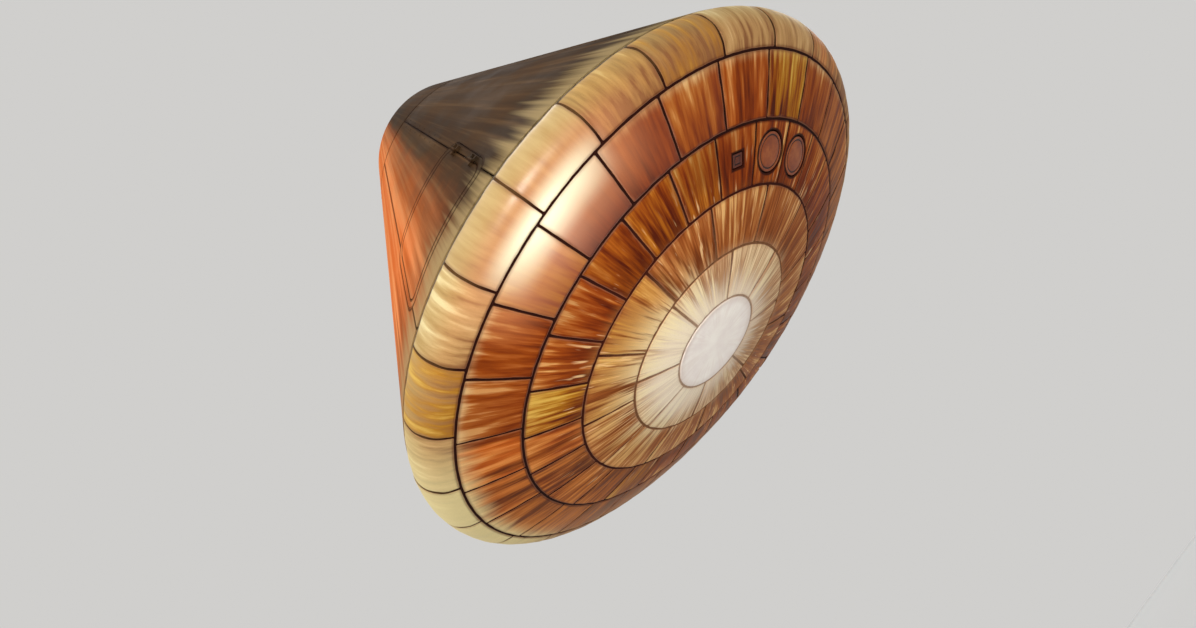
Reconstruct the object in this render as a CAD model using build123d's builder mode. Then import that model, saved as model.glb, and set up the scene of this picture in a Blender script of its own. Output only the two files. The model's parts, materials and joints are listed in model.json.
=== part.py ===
from build123d import *
import os
from math import sin, cos, tan, asin, atan2, sqrt, radians, degrees

os.makedirs("parts", exist_ok=True)

# ---------------------------------------------------------------- driving dimensions (mm, degrees)
BASE_R = 2515.0          # widest radius, at the shoulder
DISH_R = 5700.0          # outer radius of the dished heat shield
SHOULDER_R = 250.0       # rounding between dish and side wall
HALF_ANGLE = 32.5        # side wall against the axis
PLUG_R = 439.0           # flat disc in the middle of the shield
RING_R = {"E": PLUG_R, "D": 889.0, "C": 1356.0, "B": 1832.0, "A": 2310.0}
BLOCK_T = 75.0           # ablative blocks
BOND = 1.0               # bond line under them
CARRIER_T = 40.0         # load-carrying dish behind the blocks
JOINT_W = 16.0           # visible joints between blocks

WALL_T = 110.0           # side wall, skin and structure together
Z_COVER = 3333.0         # where the forward cover starts
COVER_STRAIGHT = 441.0   # conical part of the cover, along the wall
COVER_EDGE_R = 703.0
COVER_CROWN_R = 2005.0
COVER_T = 60.0
SEAM_DEG = 0.24          # gap between side wall panels

HATCH_AZ = -90.0
HATCH_Z0, HATCH_Z1 = 1183.0, 1903.0
HATCH_HALF_DEG = 14.0
HATCH_CORNER_R = 110.0
HATCH_GAP = 7.0
HATCH_TAPER = 0.1228     # side faces lean in by 7 degrees
HATCH_DROP = 62.0        # how far the wall curves away at the hatch's sides
FRAME_W = 65.0
SECTOR_HALF_DEG = 13.75  # the panels above and below the hatch
N_PANELS = 8
HINGE_LIFT = 24.0        # hinge axis above the wall
HINGE_BARREL_R = 13.0
HINGE_Y = (-250.0, 250.0)

WIN_W, WIN_H, WIN_RIM, WIN_CORNER = 430.0, 470.0, 38.0, 120.0
WIN_Z = 1990.0

TUNNEL_RI, TUNNEL_RO = 400.0, 430.0
TUNNEL_Z0, TUNNEL_Z1 = 3150.0, 3740.0
DOCK_RING_RO, DOCK_RING_T = 490.0, 40.0
DOCK_PCD, DOCK_HOLES, DOCK_HOLE_R = 920.0, 12, 6.5
BULKHEAD_Z, BULKHEAD_T, BULKHEAD_R = 3250.0, 40.0, 800.0
FLOOR_Z, FLOOR_T, FLOOR_R = 845.0, 30.0, 2335.0

# ---------------------------------------------------------------- derived geometry
SA, CA = sin(radians(HALF_ANGLE)), cos(radians(HALF_ANGLE))
ZC = sqrt(DISH_R**2 - PLUG_R**2)          # dish centre, so that the plug's face is at z = 0
TR = BASE_R - SHOULDER_R                  # shoulder centre radius
TZ = ZC - sqrt((DISH_R - SHOULDER_R) ** 2 - TR**2)
PHI_T = asin(TR / (DISH_R - SHOULDER_R))  # dish meets shoulder
R0, Z0 = TR + SHOULDER_R * CA, TZ + SHOULDER_R * SA  # shoulder meets side wall


def wall_r(z):
    return R0 - (z - Z0) * SA / CA


def on_dish(radius, phi):
    return (radius * sin(phi), ZC - radius * cos(phi))


def on_shoulder(radius, ang):
    return (TR + radius * cos(ang), TZ + radius * sin(ang))


def on_wall(s, depth):
    """s runs up the side wall from the shoulder, depth goes in from its face."""
    return (R0 - s * SA - depth * CA, Z0 + s * CA - depth * SA)


def meridian(az):
    a = radians(az)
    return Plane(origin=(0, 0, 0), x_dir=(cos(a), sin(a), 0), z_dir=(sin(a), -cos(a), 0))


def wall_plane(az, z):
    """Tangent plane of the side wall: x goes round, y up the wall, z out of it."""
    a, r = radians(az), wall_r(z)
    return Plane(
        origin=(r * cos(a), r * sin(a), z),
        x_dir=(-sin(a), cos(a), 0),
        z_dir=(cos(a) * CA, sin(a) * CA, SA),
    )


def dish_plane(az, r):
    a, phi = radians(az), asin(r / DISH_R)
    return Plane(
        origin=(r * cos(a), r * sin(a), ZC - DISH_R * cos(phi)),
        x_dir=(-sin(a), cos(a), 0),
        z_dir=(sin(phi) * cos(a), sin(phi) * sin(a), -cos(phi)),
    )


S_COVER = (Z_COVER - Z0) / CA


def finish(name, part):
    part.label = name
    export_step(part, f"parts/{name}.step")


# ================================================================ heat shield
# columns: node, inner ring line, outer ring line, blocks, azimuth of one joint
BLOCK_RINGS = [
    ("shield_inner_blocks", "E", "D", 8, 14.5),
    ("shield_second_blocks", "D", "C", 12, 17.5),
    ("shield_third_blocks", "C", "B", 24, 7.5),
    ("shield_outer_blocks", "B", "A", 24, 11.5),
]
G = JOINT_W / 2

# pieces let into the third ring of blocks: kind, azimuth, radius on the dish
INSET_Z = 1596.0
ROUND_COVERS = [-15.0, 0.0]
SQUARE_AZ = -30.0
ROUND_R, SQUARE_W = 165.0, 120.0


for node, inner, outer, count, joint_az in BLOCK_RINGS:
    r_in, r_out = RING_R[inner] + G, RING_R[outer] - G
    with BuildPart() as ring:
        with BuildSketch(Plane.XZ):
            with BuildLine():
                p0, p1 = asin(r_in / DISH_R), asin(r_out / DISH_R)
                pm, ri = (p0 + p1) / 2, DISH_R - BLOCK_T
                ThreePointArc(on_dish(DISH_R, p0), on_dish(DISH_R, pm), on_dish(DISH_R, p1))
                Line(on_dish(DISH_R, p1), on_dish(ri, p1))
                ThreePointArc(on_dish(ri, p1), on_dish(ri, pm), on_dish(ri, p0))
                Line(on_dish(ri, p0), on_dish(DISH_R, p0))
            make_face()
        revolve(axis=Axis.Z)
        with PolarLocations((r_in + r_out) / 2, count, start_angle=joint_az):
            Box(r_out - r_in + 80, JOINT_W, 2400, mode=Mode.SUBTRACT)
        if node == "shield_third_blocks":
            for az in ROUND_COVERS:
                with BuildSketch(dish_plane(az, INSET_Z)):
                    Circle(ROUND_R)
                extrude(amount=150, both=True, mode=Mode.SUBTRACT)
            with BuildSketch(dish_plane(SQUARE_AZ, INSET_Z)):
                Rectangle(SQUARE_W, SQUARE_W)
            extrude(amount=150, both=True, mode=Mode.SUBTRACT)
    finish(node, ring.part)

INSETS = []
for az, kind in [(ROUND_COVERS[0], "round"), (ROUND_COVERS[1], "round"), (SQUARE_AZ, "square")]:
    with BuildPart() as inset:
        with BuildSketch(meridian(az - 7)):
            with BuildLine():
                p0, p1 = asin(1380 / DISH_R), asin(1810 / DISH_R)
                pm, ri = (p0 + p1) / 2, DISH_R - BLOCK_T
                ThreePointArc(on_dish(DISH_R, p0), on_dish(DISH_R, pm), on_dish(DISH_R, p1))
                Line(on_dish(DISH_R, p1), on_dish(ri, p1))
                ThreePointArc(on_dish(ri, p1), on_dish(ri, pm), on_dish(ri, p0))
                Line(on_dish(ri, p0), on_dish(DISH_R, p0))
            make_face()
        revolve(axis=Axis.Z, revolution_arc=14)
        with BuildSketch(dish_plane(az, INSET_Z)):
            if kind == "round":
                Circle(ROUND_R - 9)
            else:
                Rectangle(SQUARE_W - 14, SQUARE_W - 14)
        extrude(amount=150, both=True, mode=Mode.INTERSECT)
    INSETS.append(inset.part)

with BuildPart() as shield_round_covers:
    add(INSETS[0])
    add(INSETS[1])
finish("shield_round_covers", shield_round_covers.part)

with BuildPart() as shield_square_plug:
    add(INSETS[2])
finish("shield_square_plug", shield_square_plug.part)

# shoulder blocks: dish outside ring line A, the rounding, up to the side wall
with BuildPart() as shield_shoulder_blocks:
    with BuildSketch(Plane.XZ):
        with BuildLine():
            pa = asin((RING_R["A"] + G) / DISH_R)
            a0, a1 = PHI_T - radians(90), radians(HALF_ANGLE)
            am, pm = (a0 + a1) / 2, (pa + PHI_T) / 2
            ro, ri, si = DISH_R, DISH_R - BLOCK_T, SHOULDER_R - BLOCK_T
            ThreePointArc(on_dish(ro, pa), on_dish(ro, pm), on_dish(ro, PHI_T))
            ThreePointArc(on_dish(ro, PHI_T), on_shoulder(SHOULDER_R, am), on_shoulder(SHOULDER_R, a1))
            Line(on_shoulder(SHOULDER_R, a1), on_shoulder(si, a1))
            ThreePointArc(on_shoulder(si, a1), on_shoulder(si, am), on_dish(ri, PHI_T))
            ThreePointArc(on_dish(ri, PHI_T), on_dish(ri, pm), on_dish(ri, pa))
            Line(on_dish(ri, pa), on_dish(ro, pa))
        make_face()
    revolve(axis=Axis.Z)
    with PolarLocations(2380, 24, start_angle=13.5):
        Box(420, JOINT_W, 2600, mode=Mode.SUBTRACT)
finish("shield_shoulder_blocks", shield_shoulder_blocks.part)

with BuildPart() as shield_centre_plug:
    with BuildSketch(Plane.XZ):
        with BuildLine():
            rp, ri = PLUG_R - G, DISH_R - BLOCK_T
            pp = asin(rp / ri)
            Line((0, 0), (rp, 0))
            Line((rp, 0), on_dish(ri, pp))
            ThreePointArc(on_dish(ri, pp), on_dish(ri, pp / 2), on_dish(ri, 0))
            Line(on_dish(ri, 0), (0, 0))
        make_face()
    revolve(axis=Axis.Z)
finish("shield_centre_plug", shield_centre_plug.part)

# the dish that carries the blocks
with BuildPart() as heat_shield_carrier:
    with BuildSketch(Plane.XZ):
        with BuildLine():
            ro = DISH_R - BLOCK_T - BOND
            ri = ro - CARRIER_T
            so, si = SHOULDER_R - BLOCK_T - BOND, SHOULDER_R - BLOCK_T - BOND - CARRIER_T
            a0, a1 = PHI_T - radians(90), radians(HALF_ANGLE)
            am = (a0 + a1) / 2
            ThreePointArc(on_dish(ro, 0), on_dish(ro, PHI_T / 2), on_dish(ro, PHI_T))
            ThreePointArc(on_dish(ro, PHI_T), on_shoulder(so, am), on_shoulder(so, a1))
            Line(on_shoulder(so, a1), on_shoulder(si, a1))
            ThreePointArc(on_shoulder(si, a1), on_shoulder(si, am), on_dish(ri, PHI_T))
            ThreePointArc(on_dish(ri, PHI_T), on_dish(ri, PHI_T / 2), on_dish(ri, 0))
            Line(on_dish(ri, 0), on_dish(ro, 0))
        make_face()
    revolve(axis=Axis.Z)
finish("heat_shield_carrier", heat_shield_carrier.part)

# ================================================================ side wall
HATCH_ZM = (HATCH_Z0 + HATCH_Z1) / 2
HATCH_H = (HATCH_Z1 - HATCH_Z0) / CA / 2
HATCH_WB = wall_r(HATCH_Z0) * sin(radians(HATCH_HALF_DEG))
HATCH_WT = wall_r(HATCH_Z1) * sin(radians(HATCH_HALF_DEG))
HATCH_PLANE = wall_plane(HATCH_AZ, HATCH_ZM)
S_HATCH = (HATCH_ZM - Z0) / CA
LIFT, SINK = 60.0, -260.0    # how far the hatch's cutting shape reaches out and in


def hatch_shape(grow):
    """The hatch outline grown all round, from outside the wall to inside it, with its lean."""
    with BuildPart() as shape:
        for depth in (LIFT, SINK):
            g = grow + HATCH_TAPER * (depth + HATCH_DROP)
            with BuildSketch(HATCH_PLANE.offset(depth)) as outline:
                Polygon(
                    (-HATCH_WB - g, -HATCH_H - g), (HATCH_WB + g, -HATCH_H - g),
                    (HATCH_WT + g, HATCH_H + g), (-HATCH_WT - g, HATCH_H + g), align=None,
                )
                fillet(outline.vertices(), radius=HATCH_CORNER_R + g)
        loft(ruled=True)
    return shape.part


FRAME_OUT = hatch_shape(FRAME_W)
FRAME_OUT_CLEAR = hatch_shape(FRAME_W + 5)
FRAME_IN = hatch_shape(HATCH_GAP)
HATCH_SHAPE = hatch_shape(0)


def wall_section(s0, s1):
    Polyline(on_wall(s0, 0), on_wall(s1, 0), on_wall(s1, WALL_T), on_wall(s0, WALL_T), close=True)


S_LOW, S_TOP = 32.0, S_COVER - 4.0

# columns: node, from azimuth, to azimuth, from s, to s, windows at azimuths, thrusters (azimuth, z)
PANEL_DEG = (360 - 2 * SECTOR_HALF_DEG) / N_PANELS
FIRST = HATCH_AZ + SECTOR_HALF_DEG
THRUST_Z = 1150.0
PANELS = [
    ("backshell_below_hatch", HATCH_AZ - SECTOR_HALF_DEG, FIRST, S_LOW, S_HATCH, [], []),
    ("backshell_above_hatch", HATCH_AZ - SECTOR_HALF_DEG, FIRST, S_HATCH, S_TOP, [], []),
]
for i in range(N_PANELS):
    a0, a1 = FIRST + i * PANEL_DEG, FIRST + (i + 1) * PANEL_DEG
    mid = (a0 + a1) / 2
    windows = [mid] if i in (2, 3, 4, 5) else []
    thrusters = [(mid - 7, THRUST_Z), (mid + 7, THRUST_Z)] if i in (1, 2, 5, 6) else []
    PANELS.append((f"backshell_panel_{i + 1}", a0, a1, S_LOW, S_TOP, windows, thrusters))

WINDOW_AZ = [w for row in PANELS for w in row[5]]
THRUSTER_AT = [t for row in PANELS for t in row[6]]
SCOOP_R, SCOOP_D = 96.0, 84.0

for node, a0, a1, s0, s1, windows, thrusters in PANELS:
    with BuildPart() as panel:
        with BuildSketch(meridian(a0 + SEAM_DEG / 2)):
            with BuildLine():
                wall_section(s0, s1)
            make_face()
        revolve(axis=Axis.Z, revolution_arc=a1 - a0 - SEAM_DEG)
        if a0 < HATCH_AZ + 30 or a1 > HATCH_AZ + 330:
            add(FRAME_OUT_CLEAR, mode=Mode.SUBTRACT)
        for az in windows:
            with BuildSketch(wall_plane(az, WIN_Z)):
                RectangleRounded(WIN_W, WIN_H, WIN_CORNER)
            extrude(amount=260, both=True, mode=Mode.SUBTRACT)
        for az, z in thrusters:
            with BuildSketch(wall_plane(az, z).offset(-SCOOP_D)):
                Circle(SCOOP_R)
            extrude(amount=200, mode=Mode.SUBTRACT)
    finish(node, panel.part)

with BuildPart() as window_frames:
    for az in WINDOW_AZ:
        with BuildSketch(wall_plane(az, WIN_Z).offset(-118)):
            RectangleRounded(WIN_W - 4, WIN_H - 4, WIN_CORNER - 2)
            RectangleRounded(WIN_W - 2 * WIN_RIM, WIN_H - 2 * WIN_RIM, WIN_CORNER - WIN_RIM, mode=Mode.SUBTRACT)
        extrude(amount=102)
finish("window_frames", window_frames.part)

with BuildPart() as window_glass:
    for az in WINDOW_AZ:
        with BuildSketch(wall_plane(az, WIN_Z).offset(-66)):
            RectangleRounded(WIN_W - 2 * WIN_RIM - 2, WIN_H - 2 * WIN_RIM - 2, WIN_CORNER - WIN_RIM - 1)
        extrude(amount=24)
finish("window_glass", window_glass.part)

# one thruster bell, mouth at z = 0, opening towards +Z
with BuildPart() as bell:
    with BuildSketch(Plane.XZ):
        with BuildLine():
            Polyline((0, -74), (34, -74), (34, -62), (78, -6), (78, 0), (68, 0), (26, -54), (0, -54), close=True)
        make_face()
    revolve(axis=Axis.Z)

with BuildPart() as thruster_nozzles:
    with Locations(*[Location(wall_plane(az, z).offset(-8)) for az, z in THRUSTER_AT]):
        add(bell.part)
finish("thruster_nozzles", thruster_nozzles.part)

# ================================================================ side hatch and its frame
HINGE_AZ = HATCH_AZ + degrees(asin(sin(radians(HATCH_HALF_DEG)))) + 0.09
HINGE_PLANE = wall_plane(HINGE_AZ, HATCH_ZM)


def knuckle(y0, y1, side):
    """A hinge knuckle on the hinge plane from y0 to y1, with a foot on the hatch (side -1) or frame (side 1)."""
    with BuildPart() as k:
        with BuildSketch(Plane(HINGE_PLANE.from_local_coords((0, y0, 0)), x_dir=HINGE_PLANE.x_dir, z_dir=HINGE_PLANE.y_dir)):
            # x goes round, and here y points into the wall
            with Locations((0, -HINGE_LIFT)):
                Circle(HINGE_BARREL_R)
            with Locations((side * 24, -4)):
                Rectangle(40, 38)
            with Locations((side * 8, -HINGE_LIFT + 5)):
                Rectangle(16, 12)
        extrude(amount=y1 - y0)
    return k.part


FRAME_KNUCKLES, HATCH_KNUCKLES = [], []
for y in HINGE_Y:
    FRAME_KNUCKLES += [knuckle(y - 62, y - 30, 1), knuckle(y + 30, y + 62, 1)]
    HATCH_KNUCKLES += [knuckle(y - 26, y + 26, -1)]

with BuildPart() as hatch_frame:
    with BuildSketch(meridian(HATCH_AZ - 24)):
        with BuildLine():
            wall_section(S_HATCH - 560, S_HATCH + 560)
        make_face()
    revolve(axis=Axis.Z, revolution_arc=48)
    add(FRAME_OUT, mode=Mode.INTERSECT)
    add(FRAME_IN, mode=Mode.SUBTRACT)
    for k in FRAME_KNUCKLES:
        add(k)
finish("hatch_frame", hatch_frame.part)

with BuildPart() as side_hatch:
    with BuildSketch(meridian(HATCH_AZ - 22)):
        with BuildLine():
            wall_section(S_HATCH - 540, S_HATCH + 540)
        make_face()
    revolve(axis=Axis.Z, revolution_arc=44)
    add(HATCH_SHAPE, mode=Mode.INTERSECT)
    for k in HATCH_KNUCKLES:
        add(k)
finish("side_hatch", side_hatch.part)

# grab handle inside the hatch
with BuildPart() as hatch_handle:
    with BuildSketch(HATCH_PLANE.offset(-WALL_T - 12)):
        with GridLocations(340, 1, 2, 1):
            Rectangle(34, 34)
    extrude(amount=-62)
    with BuildSketch(HATCH_PLANE.offset(-WALL_T - 74)):
        RectangleRounded(420, 34, 12)
    extrude(amount=-24)
finish("hatch_handle", hatch_handle.part)

# ================================================================ rings that join wall, shield and cover
with BuildPart() as rim_seal_ring:
    with BuildSketch(Plane.XZ):
        with BuildLine():
            Polyline(on_wall(5, 9), on_wall(27, 9), on_wall(27, WALL_T), on_wall(5, WALL_T), close=True)
        make_face()
    revolve(axis=Axis.Z)
finish("rim_seal_ring", rim_seal_ring.part)

with BuildPart() as forward_bulkhead:
    with BuildSketch(Plane.XY.offset(BULKHEAD_Z)):
        Circle(BULKHEAD_R)
        Circle(TUNNEL_RO + 1, mode=Mode.SUBTRACT)
    extrude(amount=BULKHEAD_T)
finish("forward_bulkhead", forward_bulkhead.part)

with BuildPart() as docking_tunnel:
    with BuildSketch(Plane.XY.offset(TUNNEL_Z0)):
        Circle(TUNNEL_RO)
        Circle(TUNNEL_RI, mode=Mode.SUBTRACT)
    extrude(amount=TUNNEL_Z1 - TUNNEL_Z0)
finish("docking_tunnel", docking_tunnel.part)

with BuildPart() as docking_ring:
    with BuildSketch(Plane.XY.offset(TUNNEL_Z1)):
        Circle(DOCK_RING_RO)
        Circle(TUNNEL_RI, mode=Mode.SUBTRACT)
        with PolarLocations(DOCK_PCD / 2, DOCK_HOLES, start_angle=15):
            Circle(DOCK_HOLE_R, mode=Mode.SUBTRACT)
    extrude(amount=DOCK_RING_T)
finish("docking_ring", docking_ring.part)

# ================================================================ forward cover
COVER_S0 = 4.0


def cover_line(depth):
    """Corner points of the cover's face, this far in from the outside."""
    start = on_wall(S_COVER + COVER_S0, depth)
    knee = on_wall(S_COVER + COVER_STRAIGHT, depth)
    cx, cz = on_wall(S_COVER + COVER_STRAIGHT, COVER_EDGE_R)
    phi = asin(cx / (COVER_CROWN_R - COVER_EDGE_R))
    czz = cz - (COVER_CROWN_R - COVER_EDGE_R) * cos(phi)
    re, rc = COVER_EDGE_R - depth, COVER_CROWN_R - depth
    b0, b1 = radians(HALF_ANGLE), radians(90) - phi
    bm = (b0 + b1) / 2
    mid = (cx + re * cos(bm), cz + re * sin(bm))
    end = (cx + re * cos(b1), cz + re * sin(b1))
    top_mid = (rc * sin(phi / 2), czz + rc * cos(phi / 2))
    top = (0, czz + rc)
    return start, knee, mid, end, top_mid, top


with BuildPart() as forward_cover:
    with BuildSketch(Plane.XZ):
        with BuildLine():
            o, n = cover_line(0), cover_line(COVER_T)
            Line(o[0], o[1])
            ThreePointArc(o[1], o[2], o[3])
            ThreePointArc(o[3], o[4], o[5])
            Line(o[5], n[5])
            ThreePointArc(n[5], n[4], n[3])
            ThreePointArc(n[3], n[2], n[1])
            Line(n[1], n[0])
            Line(n[0], o[0])
        make_face()
    revolve(axis=Axis.Z)
finish("forward_cover", forward_cover.part)
print("height", round(cover_line(0)[5][1], 1), "cover inside", round(cover_line(COVER_T)[5][1], 1))

# ================================================================ docking hatch, hinged at its +Y edge, swings down
DOCK_HATCH_T, DOCK_HATCH_TOP = 45.0, TUNNEL_Z0 - 8
DOCK_HINGE_Y, DOCK_HINGE_Z = 456.0, DOCK_HATCH_TOP - DOCK_HATCH_T / 2
DOCK_LUG_X, DOCK_LUG_W = 97.0, 34.0
DOCK_BRACKET_X, DOCK_BRACKET_W = 136.0, 30.0
with BuildPart() as docking_hatch:
    with BuildSketch(Plane.XY.offset(DOCK_HATCH_TOP - DOCK_HATCH_T)):
        Circle(TUNNEL_RO)
    extrude(amount=DOCK_HATCH_T)
    with BuildSketch(Plane.XY.offset(DOCK_HATCH_TOP)):
        Circle(TUNNEL_RI - 12)
    extrude(amount=20, taper=20)
    for x in (-DOCK_LUG_X, DOCK_LUG_X):
        with Locations((x, (DOCK_HINGE_Y + 400) / 2, DOCK_HINGE_Z)):
            Box(DOCK_LUG_W, DOCK_HINGE_Y - 400, 24)
        with Locations(Location((x, DOCK_HINGE_Y, DOCK_HINGE_Z), (0, 90, 0))):
            Cylinder(15, DOCK_LUG_W)
finish("docking_hatch", docking_hatch.part)

# its hinge brackets hang from the bulkhead, with the pin's ends
with BuildPart() as docking_hatch_hinge:
    for side in (-1, 1):
        with Locations((side * DOCK_BRACKET_X, DOCK_HINGE_Y + 8, (BULKHEAD_Z + DOCK_HINGE_Z - 16) / 2)):
            Box(DOCK_BRACKET_W, 44, BULKHEAD_Z - DOCK_HINGE_Z + 16)
finish("docking_hatch_hinge", docking_hatch_hinge.part)

# ================================================================ parachute bay
with BuildPart() as parachute_packs:
    for az in (30, 150, 270):
        with BuildSketch(meridian(az - 40)):
            with BuildLine():
                Polyline((452, 3302), (790, 3302), (655, 3555), (452, 3555), close=True)
            make_face()
        revolve(axis=Axis.Z, revolution_arc=80)
finish("parachute_packs", parachute_packs.part)

with BuildPart() as drogue_mortars:
    with BuildSketch(Plane.XY.offset(BULKHEAD_Z + BULKHEAD_T)):
        with PolarLocations(560, 3, start_angle=90):
            Circle(78)
    extrude(amount=290)
    with BuildSketch(Plane.XY.offset(BULKHEAD_Z + BULKHEAD_T + 230)):
        with PolarLocations(560, 3, start_angle=90):
            Circle(86)
    extrude(amount=24)
finish("drogue_mortars", drogue_mortars.part)

# ================================================================ cabin
with BuildPart() as cabin_floor:
    with BuildSketch(Plane.XY.offset(FLOOR_Z)):
        Circle(FLOOR_R)
    extrude(amount=FLOOR_T)
finish("cabin_floor", cabin_floor.part)

SEAT_X = (-960.0, -320.0, 320.0, 960.0)
SEAT_W, SEAT_T, PAD_GAP = 500.0, 40.0, 4.0
PAD_W = SEAT_W - 40
# side view of a reclined seat, head towards -Y, as y and z: head end, hip, knee, foot
HEAD, HIP, KNEE, FOOT = Vector(-656, 1190), Vector(272, 1342), Vector(412, 1800), Vector(780, 1715)
BACK_DIR, THIGH_DIR = (HIP - HEAD).normalized(), (KNEE - HIP).normalized()
BACK_N, THIGH_N = Vector(-BACK_DIR.Y, BACK_DIR.X), Vector(-THIGH_DIR.Y, THIGH_DIR.X)


def side_plane(x):
    return Plane(origin=(x, 0, 0), x_dir=(0, 1, 0), z_dir=(1, 0, 0))


def pad_corners(start, along, normal, s0, s1, thick):
    return [(p.X, p.Y) for p in (
        start + along * s0 + normal * PAD_GAP, start + along * s1 + normal * PAD_GAP,
        start + along * s1 + normal * (PAD_GAP + thick), start + along * s0 + normal * (PAD_GAP + thick),
    )]


with BuildPart() as seat_frames:
    for x in SEAT_X:
        with BuildSketch(side_plane(x - SEAT_W / 2)):
            with BuildLine():
                Polyline((-650, 1150), (300, 1305), (440, 1752), (770, 1675), (FOOT.X, FOOT.Y),
                         (KNEE.X, KNEE.Y), (HIP.X, HIP.Y), (HEAD.X, HEAD.Y), close=True)
            make_face()
        extrude(amount=SEAT_W)
        for y, top in ((-420, 1195), (180, 1292)):
            with Locations((x - 200, y, (FLOOR_Z + FLOOR_T + top) / 2), (x + 200, y, (FLOOR_Z + FLOOR_T + top) / 2)):
                Box(50, 60, top - FLOOR_Z - FLOOR_T)
finish("seat_frames", seat_frames.part)

with BuildPart() as seat_pads:
    for x in SEAT_X:
        with BuildSketch(side_plane(x - PAD_W / 2)):
            with BuildLine():
                Polyline(*pad_corners(HEAD, BACK_DIR, BACK_N, 20, 860, 78), close=True)
            make_face()
        extrude(amount=PAD_W)
finish("seat_pads", seat_pads.part)

with BuildPart() as leg_pads:
    for x in SEAT_X:
        with BuildSketch(side_plane(x - PAD_W / 2)):
            with BuildLine():
                Polyline(*pad_corners(HIP, THIGH_DIR, THIGH_N, 110, 455, 66), close=True)
            make_face()
        extrude(amount=PAD_W)
finish("leg_pads", leg_pads.part)

with BuildPart() as display_console:
    with BuildSketch(Plane(origin=(-720, 0, 0), x_dir=(0, 1, 0), z_dir=(1, 0, 0))):
        with BuildLine():
            Polyline((-760, 2180), (-180, 2300), (-200, 2400), (-780, 2280), close=True)
        make_face()
    extrude(amount=1440)
    with Locations((-600, -420, 2790), (600, -420, 2790)):
        Box(50, 50, 920)
finish("display_console", display_console.part)

with BuildPart() as stowage_lockers:
    for side in (-1, 1):
        with Locations((side * 1620, 0, FLOOR_Z + FLOOR_T + 242)):
            Box(460, 1000, 480)
finish("stowage_lockers", stowage_lockers.part)

a = radians(HINGE_AZ)
axis_pt = HINGE_PLANE.from_local_coords((0, 0, HINGE_LIFT))
print("side hinge", [round(v / 1000, 5) for v in axis_pt], [round(v, 5) for v in (-SA * cos(a), -SA * sin(a), CA)])
print("hatch", round(HATCH_WB), round(HATCH_WT), round(HATCH_H), "window az", [round(w, 2) for w in WINDOW_AZ])
print("shoulder", round(TR, 1), round(TZ, 1), "wall foot", round(R0, 1), round(Z0, 1), "cover r", round(wall_r(Z_COVER), 1))
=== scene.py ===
import bpy
import bmesh
import json
import math
import random
import numpy as np
from mathutils import Matrix, Vector
from mathutils.bvhtree import BVHTree

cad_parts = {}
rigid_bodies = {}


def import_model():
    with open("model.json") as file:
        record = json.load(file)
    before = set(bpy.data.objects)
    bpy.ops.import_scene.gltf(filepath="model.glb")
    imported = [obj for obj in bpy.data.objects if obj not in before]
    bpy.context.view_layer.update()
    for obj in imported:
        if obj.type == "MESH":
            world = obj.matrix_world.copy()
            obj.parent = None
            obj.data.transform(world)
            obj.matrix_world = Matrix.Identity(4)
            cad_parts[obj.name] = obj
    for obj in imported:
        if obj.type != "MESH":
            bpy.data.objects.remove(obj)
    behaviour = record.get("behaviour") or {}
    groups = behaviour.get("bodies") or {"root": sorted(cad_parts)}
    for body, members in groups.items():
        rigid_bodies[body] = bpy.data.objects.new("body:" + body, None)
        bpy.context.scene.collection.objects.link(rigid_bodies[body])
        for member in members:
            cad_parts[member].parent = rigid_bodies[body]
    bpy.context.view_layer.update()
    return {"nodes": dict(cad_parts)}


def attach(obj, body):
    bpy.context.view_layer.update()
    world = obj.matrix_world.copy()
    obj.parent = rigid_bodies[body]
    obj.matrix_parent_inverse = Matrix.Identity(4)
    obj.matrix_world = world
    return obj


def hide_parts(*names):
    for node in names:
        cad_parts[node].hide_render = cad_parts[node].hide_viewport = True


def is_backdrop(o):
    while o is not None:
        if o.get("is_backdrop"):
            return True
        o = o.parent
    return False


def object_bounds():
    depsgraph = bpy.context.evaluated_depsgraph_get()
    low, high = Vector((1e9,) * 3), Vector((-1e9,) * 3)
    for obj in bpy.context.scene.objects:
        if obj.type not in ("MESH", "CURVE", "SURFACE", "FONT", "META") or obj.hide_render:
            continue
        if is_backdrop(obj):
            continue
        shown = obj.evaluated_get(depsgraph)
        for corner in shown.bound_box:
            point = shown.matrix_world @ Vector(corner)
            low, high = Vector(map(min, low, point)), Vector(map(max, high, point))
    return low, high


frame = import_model()
NODES = frame["nodes"]
scene = bpy.context.scene
RNG = np.random.default_rng(7)

# ------------------------------------------------------------------ the capsule's outline, in metres
DISH_R, SHOULDER_R, HALF = 5.7, 0.25, math.radians(32.5)
PLUG_R, BASE_R = 0.439, 2.515
SA, CA = math.sin(HALF), math.cos(HALF)
ZC = math.sqrt(DISH_R**2 - PLUG_R**2)
TR = BASE_R - SHOULDER_R
TZ = ZC - math.sqrt((DISH_R - SHOULDER_R) ** 2 - TR**2)
PHI_T = math.asin(TR / (DISH_R - SHOULDER_R))
R0, Z0 = TR + SHOULDER_R * CA, TZ + SHOULDER_R * SA
WALL_T = 0.110
JOINT_W = 0.016


def meridian(s):
    """Point (r, z) and outward normal (nr, nz) at arc length s from the axis: dish, shoulder, side wall."""
    s1 = DISH_R * PHI_T
    s2 = s1 + SHOULDER_R * (math.pi / 2 + HALF - PHI_T)
    if s <= s1:
        p = s / DISH_R
        return DISH_R * math.sin(p), ZC - DISH_R * math.cos(p), math.sin(p), -math.cos(p)
    if s <= s2:
        a = PHI_T - math.pi / 2 + (s - s1) / SHOULDER_R
        return TR + SHOULDER_R * math.cos(a), TZ + SHOULDER_R * math.sin(a), math.cos(a), math.sin(a)
    d = s - s2
    return R0 - d * SA, Z0 + d * CA, CA, SA


S_SHOULDER = DISH_R * PHI_T + SHOULDER_R * (math.pi / 2 + HALF - PHI_T)


def s_of_r(r):
    return DISH_R * math.asin(r / DISH_R)


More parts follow.
